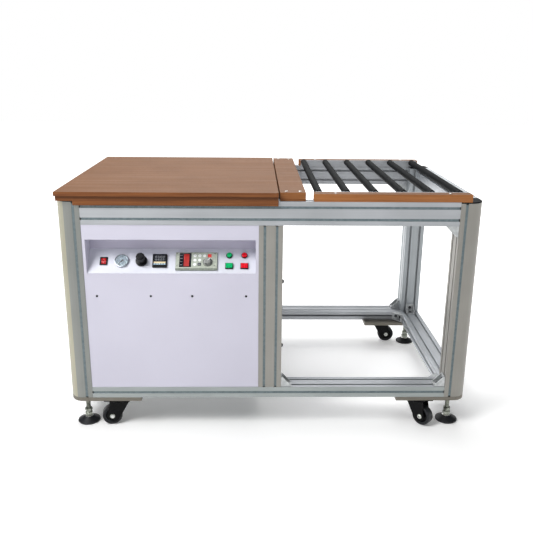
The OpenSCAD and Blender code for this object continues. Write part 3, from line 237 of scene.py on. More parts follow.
finishes = {
    # the extrusions: one metal, its tone set by the way each face stands to the light
    "profileX": anodised("anodisedProfileAcross", "x", "#A2A5A8", "#BBBEC2"),
    "profileY": anodised("anodisedProfileDeep", "y", "#B6B9BC", "#CFD2D6"),
    "profileZ": anodised("anodisedProfileUpright", "z", "#8B8983", "#9F9D97"),
    "profileLeft": anodised("anodisedProfileBright", "z", "#7F817E", "#8F918D"),
    "profileCool": anodised("anodisedProfileCool", "z", "#A0A5A8", "#B6BBBE"),
    "profileTop": anodised("anodisedProfileTop", "y", "#BCC0C3", "#D6DADE"),
    "profileWarm": anodised("anodisedProfileWarm", "z", "#9A9786", "#AAA796"),
    "profileLow": anodised("anodisedProfileLow", "x", "#929897", "#AAB0AF"),
    "boardFace": sandedBoard("phenolicBoardFace", "#6B4A31", "#79563C"),
    "boardEdge": sawnEdge("phenolicBoardEdge", "#7A4820", "#A86E3E"),
    # the platform's edges: darker brown, with a painted shadow band under the upper board's overhang
    "platformEdge": sawnEdge("darkBoardEdgePaintedShadow", "#552C10", "#855026", shadowBand=(822.5, 835.8, "#58300F")),
    "transferEdge": sawnEdge("midBrownBoardEdge", "#623616", "#966032"),
    "sheet": powderCoat("lilacPowderCoat", "#C2C0CE", "#C6C4D2"),
    # the same lilac sheet on the slope, lighter where it faces the light: painted light
    "slopeLitCoat": powderCoat("lilacPowderCoatPaintedLight", "#D4D6E0", "#D9DBE5"),
    # the same lilac sheet on the recess's back wall, darker: painted shade
    "recessShadedCoat": powderCoat("lilacPowderCoatPaintedShade", "#AFACBE", "#B3B0C2"),
    # extruded rubber strip in the slots: slate grey, slightly shiny
    "strip": grained("slotCoverStrip", "#546266", "#677579", 0, (0.35, 0.5), 0.8, 0.03),
    # milled flat bar, bare aluminium: greyer and rougher than the profile
    "plate": brushed("milledFlatBar", "#6A665E", "#89857C", (0.42, 0.58), "x"),
    # die-cast aluminium, blasted: fine pitted skin
    "cast": grained("blastedCasting", "#AEB1B2", "#CCCFCF", 0.8, (0.36, 0.55), 0.9, 0.06),
    # bright zinc plate on screws and washers: sharp small highlights
    "brightZinc": grained("brightZincPlate", "#C8C9C6", "#ECECEA", 1.0, (0.22, 0.34), 1.2, 0.02),
    # aged zinc plate on the feet's nuts: slightly green, dulled in patches
    "dullZinc": grained("agedZincPlate", "#7C8076", "#BCC0B6", 1.0, (0.2, 0.36), 1.4, 0.05),
    # black-oxide cap screws: dark oily grey with a glint on the rim
    "oxideScrew": grained("blackOxideScrew", "#3E4042", "#585A5C", 0.9, (0.25, 0.4), 0.6, 0.02),
    # blackened zinc ring round the wheel's hub: a thin dark gleam
    "wheelRim": grained("blackenedZincRim", "#323437", "#484A4D", 0.7, (0.3, 0.45), 0.8, 0.02),
    # ground steel shafts: fine strokes round a bright bar
    "groundSteel": brushed("groundSteel", "#A5A7AA", "#C9CBCE", (0.22, 0.36), "y"),
    # zinc-coated brackets and trays: soft grey, faintly clouded
    "zincSheet": grained("zincCoatedSteel", "#A2A5A8", "#BFC2C5", 0.9, (0.34, 0.5), 1.0, 0.02),
    # polished steel bezel: soft mirror of the room
    "chrome": grained("polishedSteelBezel", "#9BA1A8", "#B4BABF", 1.0, (0.12, 0.2), 3, 0.01),
    # black enamel on pressed steel: deep gloss with a little dust
    "enamel": grained("blackEnamel", "#030303", "#08080A", 0, (0.22, 0.4), 1.5, 0.04, Specular_IOR_Level=0.1,
        Coat_Weight=0.06, Coat_Roughness=0.12),
    # moulded rubber of pads and tyres: near black, broad soft highlight
    "rubber": grained("blackMouldedRubber", "#0A0B0E", "#1A1D22", 0, (0.36, 0.55), 0.7, 0.05,
        Specular_IOR_Level=0.45),
    # ground rubber on the rollers: flat black without a highlight
    "rollerRubber": grained("groundRollerRubber", "#0D0E0F", "#191B1C", 0, (0.5, 0.65), 0.6, 0.05,
        Specular_IOR_Level=0.03),
    # moulded ABS housings: satin black
    "blackPlastic": grained("blackMouldedPlastic", "#050506", "#0E0F11", 0, (0.34, 0.5), 0.5, 0.03,
        Specular_IOR_Level=0.15),
    # polished acetal grips: black with a clear highlight
    "gripPlastic": grained("glossyBlackGrip", "#060608", "#101013", 0, (0.2, 0.32), 0.5, 0.03,
        Specular_IOR_Level=0.25),
    # moulded polyamide end caps: dead black
    "capPlastic": grained("capPolyamide", "#060607", "#101011", 0, (0.35, 0.5), 0.6, 0.04,
        Specular_IOR_Level=0.05),
    # keypad housing, moulded ABS: pale green-grey, its bevel a darker shade
    "keypad": grained("greenGreyMoulding", "#A2A99B", "#B6BDAF", 0, (0.4, 0.52), 0.5, 0.03),
    "keypadRim": grained("greenGreyRim", "#697167", "#80887D", 0, (0.4, 0.52), 0.5, 0.03),
    # silicone keys: chalky, soft edged
    "key": grained("whiteKeyRubber", "#E4E8E4", "#F6F8F6", 0, (0.4, 0.5), 0.5, 0.02),
    "darkKey": grained("slateKeyRubber", "#30343B", "#464A53", 0, (0.4, 0.5), 0.5, 0.02),
    "redKey": grained("redKeyRubber", "#D82B24", "#F0463C", 0, (0.35, 0.45), 0.5, 0.02),
    # smoked acrylic window: dark blue-black and glossy
    "window": grained("smokedDisplayWindow", "#0F1419", "#1B222A", 0, (0.08, 0.16), 3, 0.01),
    # red filter over the display: deep red with a little painted glow
    "redDisplay": grained("redFilterDisplay", "#8C140E", "#BC2218", 0, (0.3, 0.4), 1.5, 0.02,
        Emission_Color=linear("#C81E14"), Emission_Strength=0.12),
    # unlit figure bars: grey behind the window
    "dimDigit": grained("unlitSegments", "#929496", "#B2B4B6", 0, (0.3, 0.4), 0.5, 0.01),
    # printed polyester strips of the controller: even matt colour
    "tanStrip": grained("tanPolyester", "#CFBA8C", "#E6D4AC", 0, (0.35, 0.45), 0.8, 0.01),
    "blueStrip": grained("iceBluePolyester", "#7FA8C6", "#C2DCEA", 0, (0.3, 0.4), 1.2, 0.01),
    # metal-filled plastic knob: dull silver
    "silverKnob": grained("silveredKnob", "#7F817E", "#9D9F9C", 0.5, (0.35, 0.48), 0.8, 0.02),
    # enamelled gauge dial: pale blue-white
    "dial": grained("gaugeDialEnamel", "#BCD3E1", "#D6E6EF", 0, (0.35, 0.45), 1.2, 0.01),
    # screen-printed marks: black ink and white paint; the black also paints a shadow ring round the keypad
    # knob's foot and shade along one side of its grip
    "inkAndShade": grained("blackScreenInkAndPaintedShade", "#1C1E22", "#2D3035", 0, (0.4, 0.5), 0.4, 0.005),
    "white": grained("whitePaintMark", "#E2E2DF", "#F6F6F4", 0, (0.35, 0.45), 0.5, 0.01),
    "redLens": lampLensPlastic("redRockerLens", "#94080C", "#CC1218", 0.06, "#B80C12"),
    "redCap": lampLensPlastic("redButtonLens", "#C40C1A", "#EA1A2C", 0.1, "#DC1222"),
    "greenCap": lampLensPlastic("greenButtonLens", "#049452", "#0CBC70", 0.1, "#06A860"),
    "lens": clearLens("clearAcrylic"),
    # motor enamel, sprayed on a casting: slightly pebbled grey
    "motorPaint": grained("greyMotorEnamel", "#4F595F", "#667279", 0, (0.35, 0.5), 1.2, 0.05),
    # machined brass fittings: warm yellow with turning marks
    "brass": grained("machinedBrass", "#B8924C", "#D6B36E", 1.0, (0.25, 0.36), 0.8, 0.02),
    # silicone heater mat: brick orange, matt
    "mat": grained("siliconeHeaterMat", "#A04418", "#C45E2A", 0, (0.5, 0.65), 1.0, 0.05),
}
print("finishes made:", len(finishes))

alongY = turn(-90, "X")                 # a turned shape's own Z laid along +Y
overX = turn(180, "X")                  # the same shape's other end


def bothEnds(place):
    return place, place @ overX


def onCircle(radius, degrees, x=0.0, y=0.0):
    angle = math.radians(degrees)
    return x + radius * math.cos(angle), y + radius * math.sin(angle)


def circleOutline(radius, steps=48, x=0.0, y=0.0):
    return [onCircle(radius, 360 * k / steps, x, y) for k in range(steps)]


def roundedOutline(width, height, radius, steps=5):
    corners = ((0, 1, 1), (90, -1, 1), (180, -1, -1), (270, 1, -1))
    return [onCircle(radius, first + 90 * k / steps, sx * (width / 2 - radius), sy * (height / 2 - radius))
            for first, sx, sy in corners for k in range(steps + 1)]


def softenEdges(shape, width, steps, over=30):
    # over: only edges sharper than this many degrees
    sharp = [e for e in shape.edges if len(e.link_faces) == 2 and e.calc_face_angle(0) > math.radians(over)]
    if width > 0 and sharp:
        bmesh.ops.bevel(shape, geom=sharp, offset=width, segments=steps, profile=0.5, affect="EDGES",
            clamp_overlap=True)


class Piece:
    # one piece's mesh, drawn in millimetres and handed over in metres; its shapes lie at its own place
    # unless a call gives another
    def __init__(self, name, body, place=here):
        self.name, self.body, self.place = name, body, place
        self.mesh, self.used = bmesh.new(), []

    def slotOf(self, finish):
        if finish not in self.used:
            self.used.append(finish)
        return self.used.index(finish)

    def take(self, shape, finish, place=None):
        # finish is a name, or a function that picks one by a face's centre and normal
        place = self.place if place is None else place
        for face in shape.faces:
            name = finish if isinstance(finish, str) else finish(face.calc_center_median(), face.normal)
            face.material_index = self.slotOf(name)
        shape.transform(place)
        if place.to_3x3().determinant() < 0:
            bmesh.ops.reverse_faces(shape, faces=shape.faces)
        carrier = bpy.data.meshes.new("carrier")
        shape.to_mesh(carrier)
        shape.free()
        self.mesh.from_mesh(carrier)
        bpy.data.meshes.remove(carrier)

    def turned(self, outline, finish, steps=48, place=None, closed=None):
        # outline: (radius, height) pairs; one that keeps off the axis closes into a ring
        shape = bmesh.new()
        rings = []
        for radius, height in outline:
            spots = circleOutline(radius, steps) if radius > 1e-6 else [(0, 0)]
            rings.append([shape.verts.new((x, y, height)) for x, y in spots])
        if closed is None:
            closed = len(rings[0]) > 1 and len(rings[-1]) > 1
        for low, high in list(zip(rings, rings[1:])) + ([(rings[-1], rings[0])] if closed else []):
            if len(low) == 1 and len(high) == 1:
                continue
            for k in range(steps):
                m = (k + 1) % steps
                side = [ring[j % len(ring)] for ring, j in ((low, k), (low, m), (high, m), (high, k))]
                shape.faces.new(list(dict.fromkeys(side)))      # a point on the axis counts once
        bmesh.ops.recalc_face_normals(shape, faces=shape.faces)
        shape.normal_update()
        self.take(shape, finish, place)

    def rod(self, radius, low, high, finish, steps=48, place=None, inner=0):
        self.turned([(inner, low), (radius, low), (radius, high), (inner, high)], finish, steps, place)

    def extruded(self, outline, low, high, finish, soft=0.0, steps=2, place=None, hole=None, over=30):
        # hole: a second outline with as many points as the first
        shape = bmesh.new()
        count = len(outline)
        walls = [[[shape.verts.new((x, y, z)) for x, y in line] for z in (low, high)]
                 for line in ([outline, hole] if hole else [outline])]
        floor, roof = walls[0]
        for k in range(count):
            m = (k + 1) % count
            shape.faces.new((floor[k], floor[m], roof[m], roof[k]))
            if hole:
                holeFloor, holeRoof = walls[1]
                shape.faces.new((holeFloor[m], holeFloor[k], holeRoof[k], holeRoof[m]))
                shape.faces.new((roof[k], roof[m], holeRoof[m], holeRoof[k]))
                shape.faces.new((floor[m], floor[k], holeFloor[k], holeFloor[m]))
        if not hole:
            shape.faces.new(roof)
            shape.faces.new(list(reversed(floor)))
        bmesh.ops.recalc_face_normals(shape, faces=shape.faces)
        softenEdges(shape, soft, steps, over)
        shape.normal_update()
        self.take(shape, finish, place)

    def boxed(self, low, high, finish, soft=0.0, steps=2, place=None):
        corners = [(low[0], low[1]), (high[0], low[1]), (high[0], high[1]), (low[0], high[1])]
        self.extruded(corners, low[2], high[2], finish, soft, steps, place)

    def repeated(self, draw, count, place=None, radius=0.0, start=0.0, turnBy=0.0, step=(0, 0, 0)):
        # copies of what draw puts in a small piece, round a circle or along a line, by Geometry Nodes
        seed = Piece("unit", None)
        draw(seed)
        finish = seed.used[0]
        unitMesh = bpy.data.meshes.new("unit")
        seed.mesh.to_mesh(unitMesh)
        seed.mesh.free()
        unit, carrier = newObject("unit", unitMesh), newObject("carrier", bpy.data.meshes.new("carrier"))
        grow = carrier.modifiers.new("copies", "NODES")
        grow.node_group = copies
        given = {"Unit": unit, "Count": count, "Radius": float(radius), "Start": math.radians(start),
                 "Turn": math.radians(turnBy), "Step": step, "Finish": finishes[finish]}
        for socket in copies.interface.items_tree:
            if socket.in_out == "INPUT" and socket.name in given:
                grow[socket.identifier] = given[socket.name]
        grown = bpy.data.meshes.new_from_object(carrier.evaluated_get(bpy.context.evaluated_depsgraph_get()))
        carrier.modifiers.remove(grow)
        bpy.data.objects.remove(carrier)
        bpy.data.objects.remove(unit)
        shape = bmesh.new()
        shape.from_mesh(grown)
        self.take(shape, finish, place)
        bpy.data.meshes.remove(grown)

    def finish(self, slotName, *replaced):
        self.mesh.transform(Matrix.Scale(millimetre, 4))
        mesh = bpy.data.meshes.new(self.name)
        self.mesh.to_mesh(mesh)
        self.mesh.free()
        for name in self.used:
            mesh.materials.append(finishes[name])
        mesh.polygons.foreach_set("use_smooth", [True] * len(mesh.polygons))
        mesh.set_sharp_from_angle(angle=math.radians(34))
        made = newObject(self.name, mesh)
        # broad flats stay flat beside soft edges
        flat = made.modifiers.new("evenNormals", "WEIGHTED_NORMAL")
        flat.keep_sharp = True
        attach(made, self.body)
        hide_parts(*replaced)


def copiesTree():
    tree = bpy.data.node_groups.new("copiesOnTurn", "GeometryNodeTree")
    sockets = {"Geometry": "Geometry", "Unit": "Object", "Count": "Int", "Radius": "Float", "Start": "Float",
        "Turn": "Float", "Step": "Vector", "Finish": "Material"}
    for name, kind in sockets.items():
        tree.interface.new_socket(name, in_out="INPUT", socket_type="NodeSocket" + kind)
    tree.interface.new_socket("Geometry", in_out="OUTPUT", socket_type="NodeSocketGeometry")
    given = addNode(tree, "NodeGroupInput").outputs
    line = addNode(tree, "GeometryNodeMeshLine", {"Count": given["Count"], "Offset": (0, 0, 0)},
        mode="OFFSET")
    index = addNode(tree, "GeometryNodeInputIndex")
    swept = addNode(tree, "ShaderNodeMath", {0: index, 1: given["Turn"], 2: given["Start"]},
        operation="MULTIPLY_ADD")
    cosine = addNode(tree, "ShaderNodeMath", {0: swept}, operation="COSINE")
    sine = addNode(tree, "ShaderNodeMath", {0: swept}, operation="SINE")
    ring = addNode(tree, "ShaderNodeCombineXYZ", {"X": cosine, "Y": sine, "Z": 0.0})
    out = addNode(tree, "ShaderNodeVectorMath", {"Vector": ring, "Scale": given["Radius"]}, operation="SCALE")
    drift = addNode(tree, "ShaderNodeVectorMath", {"Vector": given["Step"], "Scale": index},
        operation="SCALE")
    spot = addNode(tree, "ShaderNodeVectorMath", {0: out, 1: drift}, operation="ADD")
    placed = addNode(tree, "GeometryNodeSetPosition", {"Geometry": line, "Position": spot})
    facing = addNode(tree, "ShaderNodeCombineXYZ", {"X": 0.0, "Y": 0.0, "Z": swept})
    unit = addNode(tree, "GeometryNodeObjectInfo", {"Object": given["Unit"]}, transform_space="ORIGINAL")
    made = addNode(tree, "GeometryNodeInstanceOnPoints",
        {"Points": placed, "Instance": unit.outputs["Geometry"], "Rotation": facing})
    solid = addNode(tree, "GeometryNodeRealizeInstances", {"Geometry": made})
    dressed = addNode(tree, "GeometryNodeSetMaterial", {"Geometry": solid, "Material": given["Finish"]})
    addNode(tree, "NodeGroupOutput", {0: dressed})
    return tree


copies = copiesTree()

# mm: where one finish gives way to the next on the CAD's own pieces; several of these seams bound painted
# light and shade on the extrusions and the tray
seams = {"sideRails": 620, "lowRails": 400, "frontRails": -300, "leftPosts": -400, "rearPosts": 200,
    "cornerPosts": 340, "platformEnd": 27.9, "recessFoot": 600, "recessFront": -380}
# least share of a face's normal along up, left, front, and both up and front
facesUp, facesLeft, facesFront, facesSlope = 0.5, 0.45, 0.8, 0.4


# painted light and shade on the rails: the side rails' top faces get a lit tone, the low front rail's other
# faces a shaded one
def profileAlongX(centre, normal):
    up = normal.z > facesUp
    if abs(centre.x) > seams["sideRails"]:
        return "profileTop" if up else "profileY"
    low = centre.z < seams["lowRails"] and centre.y < seams["frontRails"]
    return "profileLow" if low and not up else "profileX"


# painted light and shade on the posts: the left corner posts' left-facing faces get a warm painted highlight;
# the left posts and the front and rear posts right of them each get a tone of their own
def uprightProfile(centre, normal):
    if centre.x > seams["leftPosts"]:
        return "profileCool" if centre.y > seams["rearPosts"] else "profileZ"
    corner = abs(centre.y - machine["middle"]) > seams["cornerPosts"]
    return "profileWarm" if normal.x < -facesLeft and corner else "profileLeft"


def boardFinish(centre, normal):
    return "boardFace" if normal.z > facesUp else "boardEdge"


def platformFinish(centre, normal):
    if normal.z > facesUp:
        return "boardFace"
    return "transferEdge" if centre.x > seams["platformEnd"] else "platformEdge"


# the tray's sheet: painted light on faces turned up and forward, painted shade on the recess's back wall
def trayFinish(centre, normal):
    inRecess = centre.z > seams["recessFoot"] and centre.y > seams["recessFront"]
    if normal.y < -facesFront and inRecess:
        return "recessShadedCoat"
    return "slopeLitCoat" if normal.z > facesSlope and normal.y < -facesSlope else "sheet"


def bearingFinish(centre, normal):
    # cast blocks carry the film roller, below the idle rollers' steel bushes
    return "cast" if centre.z < machine["bushes"] else "groundSteel"


# CAD nodes that keep their shape and get worn edges: edge in mm, finish, slot
wornNodes = {
    "corner_posts": (0.7, uprightProfile, "aluminium_profile"),
    "middle_posts": (0.7, uprightProfile, "aluminium_profile"),
    "top_rails": (0.7, profileAlongX, "aluminium_profile"),
    "bottom_rails": (0.7, profileAlongX, "aluminium_profile"),
    "post_caps": (1.2, "capPlastic", "black_plastic"),
    "slot_covers": (0.3, "strip", "slot_strip"),
    "foot_plates": (0.8, "plate", "plain_plate"),
    "gussets": (1.0, "cast", "cast_bracket"),
    "frame_bolts": (0.35, "oxideScrew", "zinc_screw"),
    "platform_board": (0.9, platformFinish, "phenolic_board"),
    "platform_base": (0.6, platformFinish, "phenolic_board"),
    "transfer_board": (0.9, platformFinish, "phenolic_board"),
    "roller_boards": (0.9, boardFinish, "phenolic_board"),
    "bearing_strips": (0.5, "profileX", "aluminium_profile"),
    "bearings": (0.3, bearingFinish, "bright_steel"),
    "front_panel": (0.4, "sheet", "lilac_sheet"),
    "instrument_tray": (0.4, trayFinish, "lilac_sheet"),
    "cabinet_panels": (0.4, "sheet", "lilac_sheet"),
    "equipment_mounts": (0.5, "zincSheet", "bright_steel"),
    "heater_mat": (0.3, "mat", "silicone_orange"),
    "caster_plates": (0.6, "enamel", "black_fork"),
}


def wearEdges(nodeName, width, chosen, slotName):
    shape = bmesh.new()
    shape.from_mesh(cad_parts[nodeName].data)
    shape.transform(Matrix.Scale(1000, 4))
    bmesh.ops.remove_doubles(shape, verts=shape.verts, dist=0.002)
    bmesh.ops.dissolve_limit(shape, angle_limit=math.radians(0.8), verts=shape.verts, edges=shape.edges)
    piece = Piece(nodeName + "_finished", "frame")
    softenEdges(shape, width, 2, 28)
    shape.normal_update()
    piece.take(shape, chosen)
    piece.finish(slotName, nodeName)


for nodeName, (width, chosen, slotName) in wornNodes.items():
    wearEdges(nodeName, width, chosen, slotName)
print("frame, boards and sheets finished")

corners = {"fl": (-1, -1), "fr": (1, -1), "rl": (-1, 1), "rr": (1, 1)}

footSizes = {"x": 652, "y": 365, "padRadius": 39, "rim": 6.5, "padHeight": 20, "flangeRadius": 15.5,
    "flange": 3, "nutFlats": 24, "nut": 14, "neckRadius": 10, "studRadius": 8, "studTop": 146,
    "threadPitch": 2.0, "threadRows": 26}


def makeFoot(code, sx, sy):
    s = footSizes
    place = shift(sx * s["x"], machine["middle"] + sy * s["y"])
    piece = Piece("levelling_foot_" + code, "foot_" + code, place)
    r, h, rim = s["padRadius"], s["padHeight"], s["rim"]
    piece.turned([(0, 0), (r - 3, 0), (r - 2.4, 0.6), (r - 0.8, 0.8), (r, 1.8), (r, rim - 1.2),
        (r - 0.5, rim), (r - 1.7, rim + 0.7), (r - 2.2, rim + 0.4), (r - 3.2, rim + 1.2), (r - 7, rim + 3.1),
        (r - 12, rim + 6.2), (r - 17, rim + 9.4), (r - 21.5, h - 1.4), (r - 23, h), (0, h)], "rubber", 64)
    f, t = s["flangeRadius"], s["flange"]
    piece.turned([(0, h), (f - 0.6, h), (f, h + 0.6), (f, h + t * 0.45), (f - 1.4, h + t * 0.7),
        (12.2, h + t), (0, h + t)], "brightZinc")
    # main nut, neck and lock nut, up to the bare thread
    base, split, top = h + t, h + t + s["nut"], h + t + 2 * s["nut"]
    corner, chamfer, face = s["nutFlats"] / math.sqrt(3), 1.4, s["nutFlats"] * 0.46
    for low, high, twist in ((base, split - 1, 40), (split + 5, top, 17)):
        seat = place @ turn(twist, "Z")
        piece.turned([(0, low), (corner * 0.88, low), (corner, low + chamfer), (corner, high - chamfer),
            (corner * 0.88, high), (0, high)], "dullZinc", 6, seat)
        piece.turned([(face, high), (face, high + 0.5), (0, high + 0.5)], "dullZinc", 32, seat)
    neck = s["neckRadius"]
    piece.turned([(0, split - 1.4), (neck - 0.4, split - 1.4), (neck, split - 0.6), (neck, split + 4.6),
        (neck - 0.4, split + 5.4), (0, split + 5.4)], "dullZinc", 32)
    stud, core, end = s["studRadius"], s["studRadius"] - 0.75, s["studTop"]
    piece.turned([(0, top), (core, top), (core, end - 1), (core - 1, end), (0, end)], "dullZinc", 32)
    thread = [(core - 0.2, 0), (stud, 0.7), (stud, 1.0), (core - 0.2, 1.7)]
    piece.repeated(lambda unit: unit.turned(thread, "dullZinc", 28), s["threadRows"],
        place @ shift(0, 0, top + 0.4), step=(0, 0, s["threadPitch"]))
    piece.finish("rubber_black", "foot_" + code)


for code, (sx, sy) in corners.items():
    makeFoot(code, sx, sy)

casterSizes = {"x": 538, "y": 380, "trail": 25, "axle": 35.8, "axleRadius": 4.98, "wheelRadius": 35,
    "wheelWidth": 28, "cheekGap": 16, "cheek": 4, "cheekRound": 15.8, "cheekFront": 26,
    "crown": 89.7, "crownRadius": 30, "spokes": 6}
casterTurns = {"fl": 190, "fr": -45, "rl": 160, "rr": 0}       # degrees, as the photo shows them


def cheekOutline(s):
    # seen from the side, wide in front of the axle and close round the bolt behind it
    top, foot = s["crown"] + 4.8, s["crown"] - 1
    outline = [(-36, top), (-36, foot)]
    for degrees in range(208, 361, 8):
        blend = min(max((degrees - 236) / 60, 0), 1)
        radius = s["cheekFront"] + (s["cheekRound"] - s["cheekFront"]) * blend
        outline.append(onCircle(radius, degrees, s["trail"], s["axle"]))
    return outline + [(31.8, top)]


def makeFork(code, hub):
    s = casterSizes
    fork = Piece("caster_frame_" + code, "caster_fork_" + code, hub)
    crown, r = s["crown"], s["crownRadius"]
    fork.turned([(0, crown), (r - 1, crown), (r, crown + 1), (r, crown + 4), (r - 1.2, crown + 5),
        (0, crown + 5)], "enamel")
    fork.turned([(0, crown - 5), (6, crown - 5), (8.5, crown - 3), (8.5, crown + 0.5), (0, crown + 0.5)],
        "brightZinc", 6)
    # the cheek's outline lies in X-Z, its thickness along Y
    upright = hub @ Matrix(((1, 0, 0, 0), (0, 0, 1, 0), (0, 1, 0, 0), (0, 0, 0, 1)))
    outline, reach = cheekOutline(s), s["cheekGap"] + s["cheek"]
    for side in (-1, 1):
        inner, outer = s["cheekGap"] * side, reach * side
        fork.extruded(outline, min(inner, outer), max(inner, outer), "enamel", 1.1, 3, upright, over=40)
        seat = upright @ shift(s["trail"], s["axle"], outer + 0.01 * side) @ (here if side > 0 else overX)
        fork.turned([(0, 0), (9, 0), (9, 0.8), (8.5, 1.1), (0, 1.1)], "dullZinc", 32, seat)
        fork.turned([(0, 0.5), (6.6, 0.5), (7.6, 1.3), (7.6, 2.9), (6.6, 3.9), (0, 3.9)], "brightZinc", 6,
            seat @ turn(12, "Z"))
        if side < 0:
            fork.turned([(0, 3.9), (3.6, 3.9), (3.6, 3.95), (0, 3.99)], "dullZinc", 24, seat)
    bolt = s["axleRadius"]
    fork.rod(bolt, -reach, reach, "brightZinc", 24, hub @ shift(s["trail"], 0, s["axle"]) @ alongY)
    fork.finish("black_fork", "caster_fork_" + code)


def makeWheel(code, hub):
    s = casterSizes
    seat = hub @ shift(s["trail"], 0, s["axle"]) @ alongY
    wheel = Piece("caster_tyre_" + code, "caster_wheel_" + code, seat)
    r, w = s["wheelRadius"], s["wheelWidth"] / 2
    shoulder = [(26.2, w - 2.4), (27, w - 0.8), (28.4, w), (32.6, w), (33.9, w - 0.5), (34.7, w - 1.5),
        (r, w - 3)]
    wheel.turned([(radius, -height) for radius, height in shoulder] + shoulder[::-1], "rubber", 72)
    rim = [(24.2, w - 4.2), (24.2, w - 3), (24.8, w - 2.4), (25.7, w - 2.4), (26.4, w - 3), (26.4, w - 4.2)]
    disc = [(5.05, w - 6), (5.05, w - 1.6), (9.5, w - 1.6), (10, w - 2), (10, w - 5), (13, w - 6.5),
            (21.5, w - 6.5), (24.4, w - 3.6), (24.4, w - 9), (5.05, w - 9)]
    spoke = [(9, -1.6), (23, -1.1), (23, 1.1), (9, 1.6)]
    for end in bothEnds(seat):
        wheel.turned(rim, "wheelRim", 72, end)
        wheel.turned(disc, "blackPlastic", 72, end)
        wheel.repeated(lambda unit: unit.extruded(spoke, w - 6.8, w - 3.6, "blackPlastic", 0.4), s["spokes"],
            end, turnBy=360 / s["spokes"])
    for inner, outer, reach in ((24.3, 26.3, w - 3), (5.05, 25.6, w - 8)):
        wheel.rod(outer, -reach, reach, "blackPlastic", 72, inner=inner)
    wheel.finish("rubber_black", "caster_wheel_" + code)


for code, (sx, sy) in corners.items():
    hub = shift(sx * casterSizes["x"], machine["middle"] + sy * casterSizes["y"])
    hub = hub @ turn(casterTurns[code], "Z")
    makeFork(code, hub)
    makeWheel(code, hub)
print("feet and casters made")

rollerSizes = {"first": 158.5, "pitch": 93.8, "count": 6, "height": 837.5, "radius": 12.5, "half": 370,
    "journal": 3.98, "journalEnd": 390.5}


def makeRoller(name, x):
    s = rollerSizes
    place = shift(x, machine["middle"], s["height"]) @ alongY
    piece = Piece("covered_" + name, name, place)
    r, h, j, end = s["radius"], s["half"], s["journal"], s["journalEnd"]
    cover = [(4, h), (10.4, h), (11.6, h - 0.5), (12.2, h - 1.3), (r, h - 2.6)]
    piece.turned([(radius, -height) for radius, height in cover] + cover[::-1], "rollerRubber", closed=False)
    for side in bothEnds(place):
        piece.turned([(0, h - 1), (j, h - 1), (j, end - 1), (3, end), (0, end)], "groundSteel", 24, side)
        piece.turned([(4, h - 0.2), (8.6, h - 0.2), (8.6, h + 0.5), (7.8, h + 0.9), (4, h + 0.9)],
            "groundSteel", 32, side)
    piece.finish("roller_rubber", name)


for k in range(rollerSizes["count"]):
    makeRoller(f"idle_roller_{k + 1}", rollerSizes["first"] + k * rollerSizes["pitch"])

# mm: each row's first screw and the way to its second
screwSizes = {"boardRows": (((209.8, -393.5, 845), 376.4), ((209.8, 406.5, 845), 376.4),
        ((49.1, -381.5, 848), 44.8), ((49.1, 394.5, 848), 44.8)),
    "panelX": (-581.9, -401.9, -263.0, -82.0), "panelY": -412, "panelZ": 495}
socketHead = [(0, 0), (4.6, 0), (5, 0.35), (4.7, 1.0), (3.9, 1.35), (2.9, 1.35), (2.9, 0.45), (0, 0.45)]
panelHead = [(0, 0), (3.9, 0), (4, 0.3), (3.4, 1.1), (2.2, 1.4), (1.6, 0.7), (0, 0.7)]


def makeScrews():
    s = screwSizes
    piece = Piece("board_and_panel_screws", "frame")
    for first, apart in s["boardRows"]:
        piece.repeated(lambda unit: unit.turned(socketHead, "brightZinc", 24), 2, shift(*first),
            step=(apart, 0, 0))
    for x in s["panelX"]:
        piece.turned(panelHead, "blackPlastic", 24, shift(x, s["panelY"], s["panelZ"]) @ turn(90, "X"))
    piece.finish("zinc_screw", "panel_screws")


makeScrews()
print("roller bed made")

# the sloped plate of the tray: its lower left corner, and its rise over its depth
slope = {"x": -610, "z": 571, "rise": 71, "depth": 68}
slopeAngle = math.atan2(slope["rise"], slope["depth"])


def onSlope(x, s, out=0.0):
    # x to the right, s up the plate, out away from it
    y = machine["front"] + s * math.cos(slopeAngle) - out * math.sin(slopeAngle)
    z = slope["z"] + s * math.sin(slopeAngle) + out * math.cos(slopeAngle)
    return shift(slope["x"] + x, y, z) @ Matrix.Rotation(slopeAngle, 4, "X")


rockerSizes = {"seat": (51, 50), "frame": (26, 30), "opening": (16.4, 22), "tilt": 9, "half": 7.8}


